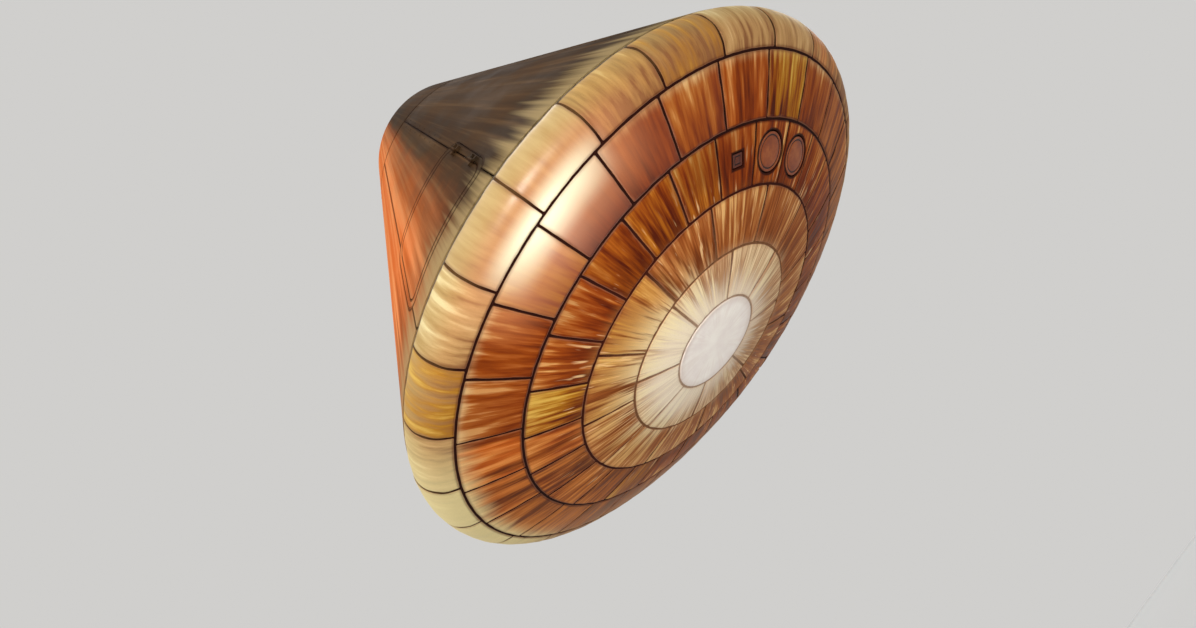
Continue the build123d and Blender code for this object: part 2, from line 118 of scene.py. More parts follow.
INSET_R = 1.596
INSETS = [(-15.0, "round"), (0.0, "round"), (-30.0, "square")]


def tangent(az, r):
    """Origin, two directions and outward normal of the dish's tangent plane at this azimuth and radius."""
    a, phi = math.radians(az), math.asin(r / DISH_R)
    o = Vector((r * math.cos(a), r * math.sin(a), ZC - DISH_R * math.cos(phi)))
    ex = Vector((-math.sin(a), math.cos(a), 0))
    n = Vector((math.sin(phi) * math.cos(a), math.sin(phi) * math.sin(a), -math.cos(phi)))
    return o, ex, n.cross(ex), n


# ------------------------------------------------------------------ camera, at the photograph's viewing angle
cam_data = bpy.data.cameras.new("camera")
cam = bpy.data.objects.new("camera", cam_data)
scene.collection.objects.link(cam)
cam.matrix_world = Matrix((
    (0.465526, 0.855039, 0.228461, 1.70005),
    (0.546533, -0.074693, -0.834100, -7.66845),
    (-0.696123, 0.513157, -0.502079, -3.50010),
    (0, 0, 0, 1),
))
cam_data.sensor_width = 36.0
cam_data.lens = 36.0 * 1052.03 / 1196.0
cam_data.clip_start, cam_data.clip_end = 0.05, 800.0
scene.camera = cam
FLOOR_Z = -3.51

# ------------------------------------------------------------------ node helpers


def lin(hexcode, a=1.0):
    h = hexcode.lstrip("#")
    out = []
    for i in (0, 2, 4):
        c = int(h[i:i + 2], 16) / 255
        out.append(c / 12.92 if c <= 0.04045 else ((c + 0.055) / 1.055) ** 2.4)
    return (*out, a)


class Mat:
    """A node material with short calls for the nodes used here."""

    def __init__(self, name, **values):
        self.m = bpy.data.materials.new(name)
        self.m.use_nodes = True
        self.t = self.m.node_tree
        self.bsdf = self.t.nodes["Principled BSDF"]
        for k, v in values.items():
            self.bsdf.inputs[k.replace("_", " ")].default_value = v
        self._co = None

    def node(self, kind, **props):
        n = self.t.nodes.new(kind)
        for k, v in props.items():
            setattr(n, k, v)
        return n

    def link(self, a, b):
        self.t.links.new(a, b)

    def put(self, socket, v):
        if hasattr(v, "is_linked") or hasattr(v, "links"):
            self.link(v, socket)
        else:
            socket.default_value = v

    def set(self, **kw):
        for k, v in kw.items():
            self.put(self.bsdf.inputs[k.replace("_", " ")], v)
        return self

    @property
    def co(self):
        if self._co is None:
            self._co = self.node("ShaderNodeTexCoord").outputs["Object"]
        return self._co

    def math(self, op, a, b=0.0, c=0.0, clamp=False):
        n = self.node("ShaderNodeMath", operation=op, use_clamp=clamp)
        self.put(n.inputs[0], a)
        self.put(n.inputs[1], b)
        self.put(n.inputs[2], c)
        return n.outputs[0]

    def xyz(self, v=None):
        n = self.node("ShaderNodeSeparateXYZ")
        self.link(v if v is not None else self.co, n.inputs[0])
        return n.outputs

    def vec(self, x, y, z):
        n = self.node("ShaderNodeCombineXYZ")
        for i, v in enumerate((x, y, z)):
            self.put(n.inputs[i], v)
        return n.outputs[0]

    def scale(self, v, s):
        n = self.node("ShaderNodeVectorMath", operation="MULTIPLY")
        self.link(v, n.inputs[0])
        n.inputs[1].default_value = s if isinstance(s, (tuple, list)) else (s, s, s)
        return n.outputs[0]

    def noise(self, v, scale=5.0, detail=3.0, rough=0.5, lac=2.0, dist=0.0):
        n = self.node("ShaderNodeTexNoise")
        self.link(v, n.inputs["Vector"])
        n.inputs["Scale"].default_value = scale
        n.inputs["Detail"].default_value = detail
        n.inputs["Roughness"].default_value = rough
        n.inputs["Lacunarity"].default_value = lac
        n.inputs["Distortion"].default_value = dist
        return n.outputs["Fac"]

    def voronoi(self, v, scale=5.0, feature="F1", out="Distance", rand=1.0):
        n = self.node("ShaderNodeTexVoronoi", feature=feature)
        self.link(v, n.inputs["Vector"])
        n.inputs["Scale"].default_value = scale
        n.inputs["Randomness"].default_value = rand
        return n.outputs[out]

    def step(self, x, lo, hi, to0=0.0, to1=1.0, smooth=True):
        n = self.node("ShaderNodeMapRange", interpolation_type="SMOOTHSTEP" if smooth else "LINEAR", clamp=True)
        self.put(n.inputs["Value"], x)
        n.inputs["From Min"].default_value = lo
        n.inputs["From Max"].default_value = hi
        n.inputs["To Min"].default_value = to0
        n.inputs["To Max"].default_value = to1
        return n.outputs["Result"]

    def ramp(self, fac, stops, mode="LINEAR"):
        n = self.node("ShaderNodeValToRGB")
        n.color_ramp.interpolation = mode
        el = n.color_ramp.elements
        while len(el) < len(stops):
            el.new(0.5)
        for e, (p, c) in zip(el, stops):
            e.position = p
            e.color = lin(c) if isinstance(c, str) else (c, c, c, 1)
        self.put(n.inputs[0], fac)
        return n.outputs[0]

    def mix(self, fac, a, b, mode="MIX"):
        n = self.node("ShaderNodeMix", data_type="RGBA", blend_type=mode)
        self.put(n.inputs[0], fac)
        for sock, v in ((n.inputs[6], a), (n.inputs[7], b)):
            if isinstance(v, str):
                v = lin(v)
            self.put(sock, v)
        return n.outputs[2]

    def attr(self, name, out="Fac"):
        n = self.node("ShaderNodeAttribute", attribute_name=name)
        return n.outputs[out]

    def bump(self, height, strength=0.3, distance=0.01, normal=None):
        n = self.node("ShaderNodeBump")
        n.inputs["Strength"].default_value = strength
        n.inputs["Distance"].default_value = distance
        self.link(height, n.inputs["Height"])
        if normal is not None:
            self.link(normal, n.inputs["Normal"])
        self.link(n.outputs[0], self.bsdf.inputs["Normal"])
        return n.outputs[0]


def give(node, mat):
    o = NODES[node]
    o.data.materials.clear()
    o.data.materials.append(mat.m if isinstance(mat, Mat) else mat)


def new_obj(name, verts, faces, mat, body=None, smooth=True):
    me = bpy.data.meshes.new(name)
    me.from_pydata([tuple(v) for v in verts], [], [tuple(f) for f in faces])
    me.update()
    if smooth:
        me.polygons.foreach_set("use_smooth", [True] * len(me.polygons))
    o = bpy.data.objects.new(name, me)
    scene.collection.objects.link(o)
    me.materials.append(mat.m if isinstance(mat, Mat) else mat)
    if body:
        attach(o, body)
    return o


# ------------------------------------------------------------------ materials


def polar(M):
    """Radius from the axis, and the direction round it, of the point being shaded."""
    x, y, z = M.xyz()
    r = M.math("SQRT", M.math("ADD", M.math("MULTIPLY", x, x), M.math("MULTIPLY", y, y)))
    rs = M.math("MAXIMUM", r, 0.02)
    return x, y, z, r, M.math("DIVIDE", x, rs), M.math("DIVIDE", y, rs)


def band(M, x, lo0, lo1, hi0, hi1):
    """1 between lo1 and hi0, falling softly to 0 at lo0 and hi1."""
    return M.math("MULTIPLY", M.step(x, lo0, lo1), M.step(x, hi1, hi0))


def toward(M, cx, cy, az, width):
    """1 in this direction round the axis, 0 beyond width degrees from it."""
    a = math.radians(az)
    d = M.math("ADD", M.math("MULTIPLY", cx, math.cos(a)), M.math("MULTIPLY", cy, math.sin(a)))
    return M.step(d, math.cos(math.radians(width)), 1.0)


# columns: radius where this ring's colours begin, radius where they are full, streak colours from hollow to crest
RING_COLOURS = [
    (0.0, 0.0, [(0.10, "#8e5a34"), (0.38, "#ad7c54"), (0.62, "#c79c74"), (0.92, "#ecd0a6")]),
    (0.84, 0.98, [(0.10, "#6c330f"), (0.38, "#914b1c"), (0.62, "#ad6a34"), (0.90, "#deae70")]),
    (1.26, 1.46, [(0.10, "#4a1502"), (0.38, "#722b05"), (0.60, "#91400c"), (0.80, "#b3682a"), (0.96, "#e0ac68")]),
    (1.74, 1.90, [(0.08, "#4c1802"), (0.32, "#752d05"), (0.54, "#90400b"), (0.76, "#a85b22"), (0.95, "#cc9054")]),
    (2.22, 2.36, [(0.10, "#8e5e3a"), (0.40, "#b88c58"), (0.66, "#c99f6a"), (0.92, "#e0c08c")]),
    (2.50, 2.80, [(0.10, "#98784a"), (0.40, "#b6965e"), (0.70, "#ccb07a"), (0.95, "#e4d29e")]),
]


def ablator():
    M = Mat("ablator", Roughness=0.6, Coat_Roughness=0.3, Specular_IOR_Level=0.05)
    x, y, z, r, cx, cy = polar(M)
    # the dish ends at the shoulder; from there on the way round it counts as radius, so streaks run on over it
    reach = M.math("ADD", r, M.math("MULTIPLY", M.math("MAXIMUM", M.math("SUBTRACT", z, 0.50), 0.0), 1.0))
    def streaks(a, b, detail=3.0, rough=0.55, dist=0.0):
        return M.noise(M.vec(M.math("MULTIPLY", cx, a), M.math("MULTIPLY", cy, a), M.math("MULTIPLY", reach, b)), 1.0, detail, rough, 2.0, dist)
    fine = streaks(46.0, 2.4, 3.0, 0.5)
    wide = streaks(15.0, 1.1, 2.0, 0.5)
    hair = streaks(110.0, 4.0, 2.0, 0.6)
    soft = M.noise(M.co, 2.1, 3.0, 0.5)
    grain = M.noise(M.co, 60.0, 4.0, 0.65)
    along, across, tint = M.attr("along"), M.attr("across"), M.attr("tint")
    glaze = M.attr("glaze")
    # one value drives each ring's colours: streaks, the block's own tone, paler outwards
    v = M.math("ADD", M.math("MULTIPLY", fine, 0.95), M.math("ADD", M.math("MULTIPLY", wide, 0.65), M.math("MULTIPLY", hair, 0.22)))
    v = M.step(v, 0.60, 1.25, smooth=False)
    calm = M.math("MULTIPLY", glaze, 0.75)
    v = M.math("ADD", M.math("MULTIPLY", v, M.math("SUBTRACT", 1.0, calm)), M.math("MULTIPLY", M.math("ADD", M.math("MULTIPLY", soft, 0.5), 0.20), calm))
    v = M.math("ADD", v, M.math("MULTIPLY", M.math("SUBTRACT", tint, 0.5), 0.26))
    v = M.math("ADD", v, M.math("MULTIPLY", M.math("SUBTRACT", along, 0.42), 0.36), clamp=True)
    col = None
    for r0, r1, stops in RING_COLOURS:
        c = M.ramp(v, stops)
        wob = M.math("ADD", reach, M.math("MULTIPLY", M.math("SUBTRACT", fine, 0.5), 0.26 if r0 < 2 else 0.12))
        col = c if col is None else M.mix(M.step(wob, r0, r1), col, c)
    # gold and orange-red blocks
    gold = M.math("MULTIPLY", M.attr("gold"), M.step(M.math("ADD", M.math("MULTIPLY", wide, 0.5), M.math("MULTIPLY", fine, 0.5)), 0.36, 0.58))
    col = M.mix(gold, col, M.ramp(v, [(0.0, "#683204"), (0.35, "#94560a"), (0.65, "#b67c1a"), (0.95, "#d8ae4e")]))
    red = M.math("MULTIPLY", M.attr("red"), M.step(wide, 0.36, 0.6))
    col = M.mix(red, col, M.ramp(v, [(0.1, "#8a2f06"), (0.5, "#c65a14"), (0.9, "#ee9a50")]))
    # rays that run out from the middle, boldest on one side, and a painted glow round the disc
    near = M.math("ADD", M.math("MULTIPLY", streaks(9.0, 0.6, 1.0), 0.5), M.math("MULTIPLY", fine, 0.5))
    away = toward(M, cx, cy, -128, 98)
    wedge = M.math("ADD", M.math("MULTIPLY", away, 0.095), M.math("MULTIPLY", toward(M, cx, cy, -78, 36), 0.085))
    ray = M.step(M.math("ADD", near, wedge), 0.52, 0.66)
    ray = M.math("MULTIPLY", ray, M.step(M.math("SUBTRACT", r, M.math("MULTIPLY", away, 0.38)), 1.14, 0.5))
    col = M.mix(M.math("MULTIPLY", ray, 0.82), col, M.mix(M.step(r, 0.7, 1.25), "#f6e6bc", "#e2b468"))
    spark = M.math("MULTIPLY", M.step(M.math("ADD", M.math("MULTIPLY", streaks(60.0, 5.0, 1.0), 0.7), M.math("MULTIPLY", wide, 0.3)), 0.60, 0.70), band(M, r, 0.9, 1.1, 1.45, 1.75))
    col = M.mix(M.math("MULTIPLY", spark, 0.7), col, "#f0c890")
    painted_glow_radius = M.math("SUBTRACT", M.math("ADD", r, M.math("MULTIPLY", M.math("SUBTRACT", fine, 0.5), 0.6)), M.math("MULTIPLY", away, 0.14))
    col = M.mix(M.math("MULTIPLY", M.step(painted_glow_radius, 0.74, 0.42), 0.80), col, "#f6e6ce")
    # painted glow: the outer rings paler on one side
    painted_side_glow = M.math("MULTIPLY", toward(M, cx, cy, 115, 100), M.step(reach, 1.5, 2.3, 0.15, 0.62))
    col = M.mix(painted_side_glow, col, "#b08a66")
    # a painted highlight across the outermost ring line: a pink halo round a cream core
    painted_highlight_halo = M.math("MULTIPLY", toward(M, cx, cy, -76.5, 27), band(M, reach, 1.80, 2.22, 2.40, 2.74))
    col = M.mix(M.math("MULTIPLY", painted_highlight_halo, 0.62), col, "#d08c62")
    painted_light_mask = M.math("MULTIPLY", toward(M, cx, cy, -76.5, 17), band(M, reach, 2.05, 2.29, 2.34, 2.54))
    col = M.mix(M.math("MULTIPLY", painted_light_mask, 0.95), col, "#f6ebc8")
    # painted cream glow on the rim, lower left
    painted_rim_glow = M.math("MULTIPLY", toward(M, cx, cy, -154, 35), M.step(M.math("ADD", reach, M.math("MULTIPLY", fine, 0.35)), 2.26, 2.52))
    col = M.mix(M.math("MULTIPLY", painted_rim_glow, 0.85), col, "#f0dfa4")
    # blocks on some sides darker or paler; the cream patch near the middle, at -172, is painted glow
    for az_i, spread, edges, share, shade in (
            (-158, 40, (1.15, 1.50, 2.15, 2.34), 0.62, "#d6843c"), (33, 36, (1.70, 1.95, 2.20, 2.34), 0.60, "#cc8448"),
            (-72, 16, (0.92, 1.10, 1.33, 1.36), 0.40, "#cc9258"), (-42, 17, (1.42, 1.60, 1.80, 1.84), 0.50, "#54190a"),
            (-88, 13, (1.42, 1.60, 1.80, 1.84), 0.40, "#64220a"), (-172, 75, (0.20, 0.30, 0.60, 0.90), 0.42, "#fff2dc")):
        part = M.math("MULTIPLY", toward(M, cx, cy, az_i, spread), band(M, r, *edges))
        col = M.mix(M.math("MULTIPLY", M.math("MULTIPLY", part, share), M.step(M.math("ADD", M.math("MULTIPLY", fine, 0.6), M.math("MULTIPLY", wide, 0.4)), 0.38, 0.62, 0.12, 1.0)), col, shade)
    # soot beside the joints, heaviest along the outer ring lines
    soot = M.math("MULTIPLY", M.attr("margin"), M.step(r, 0.8, 1.5, 0.10, 0.42))
    for line, strength in ((1.356, 0.45), (1.832, 0.85), (2.31, 0.55)):
        soot = M.math("MAXIMUM", soot, M.math("MULTIPLY", band(M, r, line - 0.030, line - 0.013, line + 0.013, line + 0.030), strength))
    # the soot is thinned where the painted highlight lies
    col = M.mix(M.math("MULTIPLY", soot, M.math("SUBTRACT", 1.0, M.math("MULTIPLY", painted_light_mask, 0.6))), col, "#4a1404")
    for az_i, kind in INSETS:
        o_i, ex_i, ey_i, n_i = tangent(az_i, INSET_R)
        d_i = M.node("ShaderNodeVectorMath", operation="SUBTRACT")
        M.link(M.co, d_i.inputs[0])
        d_i.inputs[1].default_value = o_i
        sides = []
        for e_i in (ex_i, ey_i):
            dt = M.node("ShaderNodeVectorMath", operation="DOT_PRODUCT")
            M.link(d_i.outputs[0], dt.inputs[0])
            dt.inputs[1].default_value = e_i
            sides.append(dt.outputs["Value"])
        if kind == "round":
            far = M.math("SQRT", M.math("ADD", M.math("MULTIPLY", sides[0], sides[0]), M.math("MULTIPLY", sides[1], sides[1])))
            far = M.math("SUBTRACT", far, 0.165)
        else:
            far = M.math("SUBTRACT", M.math("MAXIMUM", M.math("ABSOLUTE", sides[0]), M.math("ABSOLUTE", sides[1])), 0.060)
        col = M.mix(M.math("MULTIPLY", M.step(far, 0.024, 0.010), 0.94), col, "#2c0b03")
    pits = M.step(M.noise(M.co, 210.0, 3.0, 0.65), 0.55, 0.70)
    rough = M.math("SUBTRACT", 1.0, calm)
    col = M.mix(M.math("MULTIPLY", M.math("MULTIPLY", pits, rough), 0.24), col, "#43170a")
    # pale pink along the blocks' rounded edges: a painted highlight on the bevels
    col = M.mix(M.math("MULTIPLY", M.attr("edge"), 0.30), col, "#c58a66")
    char = M.step(M.attr("deep"), 0.05, 0.7)
    col = M.mix(M.math("MULTIPLY", char, 0.94), col, M.ramp(M.math("DIVIDE", reach, 3.0), [(0.16, "#a8886e"), (0.30, "#7a4a2a"), (0.45, "#3a1206"), (0.62, "#220803"), (0.79, "#2a0d05"), (0.90, "#5c4024")]))
    M.set(Base_Color=col)
    M.set(Roughness=M.step(M.math("ADD", M.math("MULTIPLY", fine, 0.6), M.math("MULTIPLY", soft, 0.4)), 0.3, 0.7, 0.46, 0.72))
    M.set(Coat_Weight=M.math("MULTIPLY", M.math("ADD", M.math("MULTIPLY", glaze, 0.85), 0.02), M.math("SUBTRACT", 1.0, char)))
    h = M.math("ADD", M.math("MULTIPLY", fine, 0.6), M.math("ADD", M.math("MULTIPLY", hair, 0.25), M.math("MULTIPLY", grain, 0.16)))
    h = M.math("SUBTRACT", h, M.math("MULTIPLY", pits, 0.10))
    M.bump(M.math("MULTIPLY", h, M.math("SUBTRACT", 1.0, calm)), 0.35, 0.006)
    return M


def plug_mat():
    M = Mat("plug", Roughness=0.62, Coat_Weight=0.08, Coat_Roughness=0.35, Specular_IOR_Level=0.3)
    x, y, z, r, cx, cy = polar(M)
    rays = M.noise(M.vec(M.math("MULTIPLY", cx, 11.0), M.math("MULTIPLY", cy, 11.0), M.math("MULTIPLY", r, 2.0)), 1.0, 3.0, 0.55)
    cloud = M.noise(M.co, 5.0, 4.0, 0.55)
    grain = M.noise(M.co, 70.0, 3.0, 0.6)
    col = M.mix(M.step(cloud, 0.30, 0.70), "#f3e8e2", "#fdf6ee")
    col = M.mix(M.math("MULTIPLY", M.math("MULTIPLY", M.step(rays, 0.42, 0.66), M.step(r, 0.08, 0.30)), 0.35), col, "#e8d8ce")
    col = M.mix(M.math("MULTIPLY", M.step(r, 0.35, 0.43), 0.35), col, "#c4a898")
    col = M.mix(M.math("MULTIPLY", M.step(M.attr("deep"), 0.1, 0.8), 0.8), col, "#5a3a2c")
    M.set(Base_Color=col)
    M.bump(M.math("ADD", M.math("MULTIPLY", cloud, 0.5), M.math("MULTIPLY", grain, 0.25)), 0.3, 0.004)
    return M


def filler_mat():
    M = Mat("filler", Roughness=0.85, Specular_IOR_Level=0.1)
    x, y, z, r, cx, cy = polar(M)
    n1 = M.noise(M.co, 40.0, 3.0, 0.6)
    reach = M.math("ADD", r, M.math("MAXIMUM", M.math("SUBTRACT", z, 0.50), 0.0))
    col = M.ramp(M.math("DIVIDE", reach, 3.0), [(0.16, "#b0927a"), (0.30, "#7c5234"), (0.45, "#3a1206"), (0.62, "#240904"), (0.79, "#2a0d05"), (0.90, "#5c4024")])
    M.set(Base_Color=M.mix(M.math("MULTIPLY", M.step(n1, 0.4, 0.7), 0.3), col, "#2c140a"))
    M.bump(n1, 0.3, 0.003)
    return M


def inset_mat():
    M = Mat("inset", Roughness=0.55, Coat_Weight=0.1, Coat_Roughness=0.3, Specular_IOR_Level=0.3)
    n1 = M.noise(M.scale(M.co, (1, 1, 1)), 9.0, 4.0, 0.6)
    grain = M.noise(M.co, 90.0, 3.0, 0.6)
    col = M.ramp(n1, [(0.25, "#6a2806"), (0.5, "#8a4010"), (0.75, "#a65c24")])
    col = M.mix(M.attr("dark"), col, "#4a1606")
    col = M.mix(M.math("MULTIPLY", M.step(M.attr("deep"), 0.1, 0.7), 0.96), col, "#200703")
    M.set(Base_Color=col)
    M.bump(M.math("ADD", M.math("MULTIPLY", n1, 0.5), M.math("MULTIPLY", grain, 0.2)), 0.3, 0.004)
    return M


def coating(name, base, dark, pale, liner="depth"):
    """The side wall's heat-proof coating: soot drawn up from the rim, a painted orange glow on one flank, a painted
    pale glow rising from the rim, pale liner inside.
    """
    M = Mat(name, Roughness=0.82, Specular_IOR_Level=0.012)
    x, y, z, r, cx, cy = polar(M)
    def runs(a, b, detail=3.0, rough=0.5):
        return M.noise(M.vec(M.math("MULTIPLY", cx, a), M.math("MULTIPLY", cy, a), M.math("MULTIPLY", z, b)), 1.0, detail, rough)
    run, wide, hair = runs(24.0, 0.7), runs(6.0, 0.45, 2.0), runs(90.0, 1.6, 2.0)
    blot = M.noise(M.co, 2.3, 4.0, 0.55)
    grain = M.noise(M.co, 140.0, 3.0, 0.6)
    col = M.mix(M.math("MULTIPLY", M.step(wide, 0.33, 0.70), 0.8), base, dark)
    col = M.mix(M.math("MULTIPLY", M.step(run, 0.50, 0.74), 0.42), col, pale)
    col = M.mix(M.math("MULTIPLY", M.step(run, 0.48, 0.30), 0.35), col, dark)
    col = M.mix(M.math("MULTIPLY", M.step(hair, 0.55, 0.8), 0.22), col, pale)
    col = M.mix(M.math("MULTIPLY", M.step(blot, 0.45, 0.7), 0.25), col, "#5f4029")
    col = M.mix(M.math("MULTIPLY", M.step(M.noise(M.co, 420.0, 2.0, 0.6), 0.54, 0.72), 0.22), col, dark)
    # painted orange glow on one flank
    a0 = math.radians(-150)
    flank = M.math("ADD", M.math("MULTIPLY", cx, math.cos(a0)), M.math("MULTIPLY", cy, math.sin(a0)))
    flank = M.math("MULTIPLY", flank, M.math("MINIMUM", M.math("DIVIDE", M.math("ADD", r, 0.22), 0.85), 1.0))
    side = M.math("ADD", flank, M.math("ADD", M.math("MULTIPLY", M.math("SUBTRACT", wide, 0.5), 0.22), M.math("MULTIPLY", M.math("SUBTRACT", blot, 0.5), 0.16)))
    painted_light_mask = M.step(side, 0.34, 0.72)
    glow = M.mix(M.step(run, 0.32, 0.68), "#de7434", "#f29a5e")
    glow = M.mix(M.math("MULTIPLY", M.step(grain, 0.52, 0.74), 0.22), glow, "#b9501f")
    glow = M.mix(M.math("MULTIPLY", M.step(M.math("ADD", M.math("MULTIPLY", blot, 0.6), M.math("MULTIPLY", wide, 0.4)), 0.42, 0.62), 0.35), glow, "#d9642c")
    col = M.mix(M.math("MULTIPLY", painted_light_mask, 0.95), col, glow)
    # soot drawn up from the rim, and a painted pale glow rising from it in streaks
    climb = M.math("ADD", z, M.math("MULTIPLY", M.math("SUBTRACT", run, 0.5), 1.3))
    col = M.mix(M.math("MULTIPLY", M.step(climb, 1.75, 1.05), 0.5), col, "#352a1f")
    painted_rim_glow = M.math("ADD", z, M.math("ADD", M.math("MULTIPLY", M.math("SUBTRACT", runs(38.0, 0.5), 0.5), 0.9), M.math("MULTIPLY", M.math("SUBTRACT", wide, 0.5), 0.5)))
    col = M.mix(M.math("MULTIPLY", M.step(painted_rim_glow, 1.32, 0.82), 0.72), col, "#ae9668")
    # soot along the seams between the panels, and round the hatch and its frame
    around = M.math("FLOORED_MODULO", M.math("SUBTRACT", M.math("ARCTAN2", y, x), math.radians(-76.25)), 2 * math.pi)
    u = M.math("DIVIDE", around, math.radians(41.5625))
    off = M.math("ABSOLUTE", M.math("SUBTRACT", u, M.math("ROUND", M.math("MINIMUM", u, 8.0))))
    off = M.math("MINIMUM", off, M.math("SUBTRACT", 8.66165, u))
    off = M.math("MULTIPLY", M.math("MULTIPLY", off, math.radians(41.5625)), r)
    yl = M.math("ADD", M.math("MULTIPLY", M.math("ADD", y, 2.0410), SA), M.math("MULTIPLY", M.math("SUBTRACT", z, 1.5430), CA))
    half = M.math("SUBTRACT", 0.4935, M.math("MULTIPLY", yl, 0.1300))
    qx = M.math("ADD", M.math("MULTIPLY", M.math("SUBTRACT", M.math("ABSOLUTE", x), half), 0.9917), 0.110)
    qy = M.math("SUBTRACT", M.math("ABSOLUTE", yl), 0.427 - 0.110)
    px, py = M.math("MAXIMUM", qx, 0.0), M.math("MAXIMUM", qy, 0.0)
    out = M.math("SQRT", M.math("ADD", M.math("MULTIPLY", px, px), M.math("MULTIPLY", py, py)))
    out = M.math("SUBTRACT", M.math("ADD", out, M.math("MINIMUM", M.math("MAXIMUM", qx, qy), 0.0)), 0.110)
    front = M.step(y, -1.2, -1.3)
    line = M.math("MINIMUM", M.math("ABSOLUTE", M.math("SUBTRACT", out, 0.0035)), M.math("ABSOLUTE", M.math("SUBTRACT", out, 0.0675)))
    beyond = M.math("MAXIMUM", M.step(out, 0.060, 0.064), M.math("SUBTRACT", 1.0, front))
    seam = M.math("MAXIMUM", M.math("MULTIPLY", M.step(off, 0.020, 0.006), beyond), M.math("MULTIPLY", M.step(line, 0.016, 0.005), front))
    seam = M.math("MULTIPLY", seam, M.step(z, 3.336, 3.331))
    seam = M.math("MAXIMUM", seam, M.step(M.math("ABSOLUTE", M.math("SUBTRACT", z, 3.333)), 0.016, 0.004))
    col = M.mix(M.math("MULTIPLY", seam, 0.72), col, "#2a170b")
    if liner:
        cloth = M.noise(M.co, 30.0, 3.0, 0.6)
        if liner == "depth":
            depth = M.math("SUBTRACT", M.math("MULTIPLY", M.math("SUBTRACT", R0, r), CA), M.math("MULTIPLY", M.math("SUBTRACT", z, Z0), SA))
            col = M.mix(M.step(depth, 0.020, 0.028), col, "#2c2620")
            inside = M.step(depth, 0.100, 0.106)
        else:
            inside = M.attr("inside")
        col = M.mix(inside, col, M.mix(M.step(cloth, 0.4, 0.7), "#d2cfc7", "#bfbcb3"))
    M.set(Base_Color=col)
    M.set(Roughness=M.step(blot, 0.3, 0.7, 0.6, 0.8))
    M.bump(M.math("ADD", M.math("MULTIPLY", run, 0.25), M.math("ADD", M.math("MULTIPLY", blot, 0.4), M.math("MULTIPLY", grain, 0.12))), 0.22, 0.008)
    return M


def metal(name, colour, rough=0.4, wear=None, metallic=1.0, scale=30.0):
    M = Mat(name, Metallic=metallic, Roughness=rough)
    n1 = M.noise(M.co, scale, 4.0, 0.6)
    n2 = M.noise(M.scale(M.co, (1, 1, 14)), scale * 1.5, 3.0, 0.6)
    M.set(Base_Color=M.mix(M.math("MULTIPLY", M.step(n1, 0.4, 0.75), 0.5), colour, wear or "#5b5148"))
    M.set(Roughness=M.step(n2, 0.3, 0.7, rough - 0.08, rough + 0.14))
    M.bump(n2, 0.12, 0.001)
    return M


def paint(name, colour, other, rough=0.5, scale=18.0, bump=0.15):
    M = Mat(name, Roughness=rough)
    n1 = M.noise(M.co, scale, 4.0, 0.6)
    n2 = M.noise(M.co, scale * 14, 3.0, 0.6)
    M.set(Base_Color=M.mix(M.math("MULTIPLY", M.step(n1, 0.42, 0.7), 0.6), colour, other))
    M.set(Roughness=M.step(n1, 0.3, 0.7, rough - 0.08, rough + 0.1))
    M.bump(n2, bump, 0.001)
    return M


def weave(name, colour, other, pitch=1500.0, worn="#2a2724", bump=0.3):
    M = Mat(name, Roughness=0.88, Sheen_Weight=0.3, Specular_IOR_Level=0.2)
    M.bsdf.inputs["Sheen Roughness"].default_value = 0.5
    x, y, z = M.xyz()
    wx = M.math("SINE", M.math("MULTIPLY", M.math("ADD", x, M.math("MULTIPLY", z, 0.37)), pitch))
    wy = M.math("SINE", M.math("MULTIPLY", M.math("ADD", y, M.math("MULTIPLY", z, 0.61)), pitch))
    w = M.math("MULTIPLY", wx, wy)
    n = M.noise(M.co, 9.0, 3.0, 0.5)
    fuzz = M.noise(M.co, 160.0, 3.0, 0.6)
    col = M.mix(M.step(M.math("ADD", w, M.math("MULTIPLY", M.math("SUBTRACT", fuzz, 0.5), 1.6)), -0.7, 0.7), colour, other)
    col = M.mix(M.math("MULTIPLY", M.step(n, 0.42, 0.72), 0.35), col, worn)
    M.set(Base_Color=col)
    M.bump(M.math("ADD", M.math("MULTIPLY", w, 0.5), M.math("ADD", M.math("MULTIPLY", n, 0.8), M.math("MULTIPLY", fuzz, 0.5))), bump, 0.0012)
    return M


def bell_mat():
    M = Mat("bell_metal", Metallic=1.0, Roughness=0.36)
    n1, n2 = M.noise(M.co, 26.0, 4.0, 0.6), M.noise(M.scale(M.co, (1, 1, 9)), 60.0, 3.0, 0.6)
    t = M.math("ADD", M.attr("inside"), M.math("MULTIPLY", M.math("SUBTRACT", n1, 0.5), 0.25))
    col = M.ramp(t, [(0.02, "#9a8c7e"), (0.22, "#8b6a4c"), (0.45, "#574250"), (0.7, "#2c2a30"), (0.95, "#121113")])
    M.set(Base_Color=M.mix(M.math("MULTIPLY", M.step(n1, 0.5, 0.75), 0.5), col, "#33291f"))
    M.set(Roughness=M.step(n2, 0.3, 0.7, 0.30, 0.52))
    M.bump(n2, 0.1, 0.001)
    return M


def screen_mat():
    M = Mat("screen", Roughness=0.12, Specular_IOR_Level=0.5)
    x, y, z = M.xyz()
    gx = M.math("ABSOLUTE", M.math("SUBTRACT", M.math("FRACT", M.math("MULTIPLY", x, 28.0)), 0.5))
    gy = M.math("ABSOLUTE", M.math("SUBTRACT", M.math("FRACT", M.math("MULTIPLY", y, 28.0)), 0.5))
    line = M.math("MAXIMUM", M.step(gx, 0.46, 0.5), M.step(gy, 0.46, 0.5))
    n1 = M.noise(M.co, 12.0, 2.0, 0.5)
    M.set(Base_Color=M.mix(M.math("MULTIPLY", line, 0.35), M.mix(n1, "#070b0d", "#0d1418"), "#2c5660"))
    return M


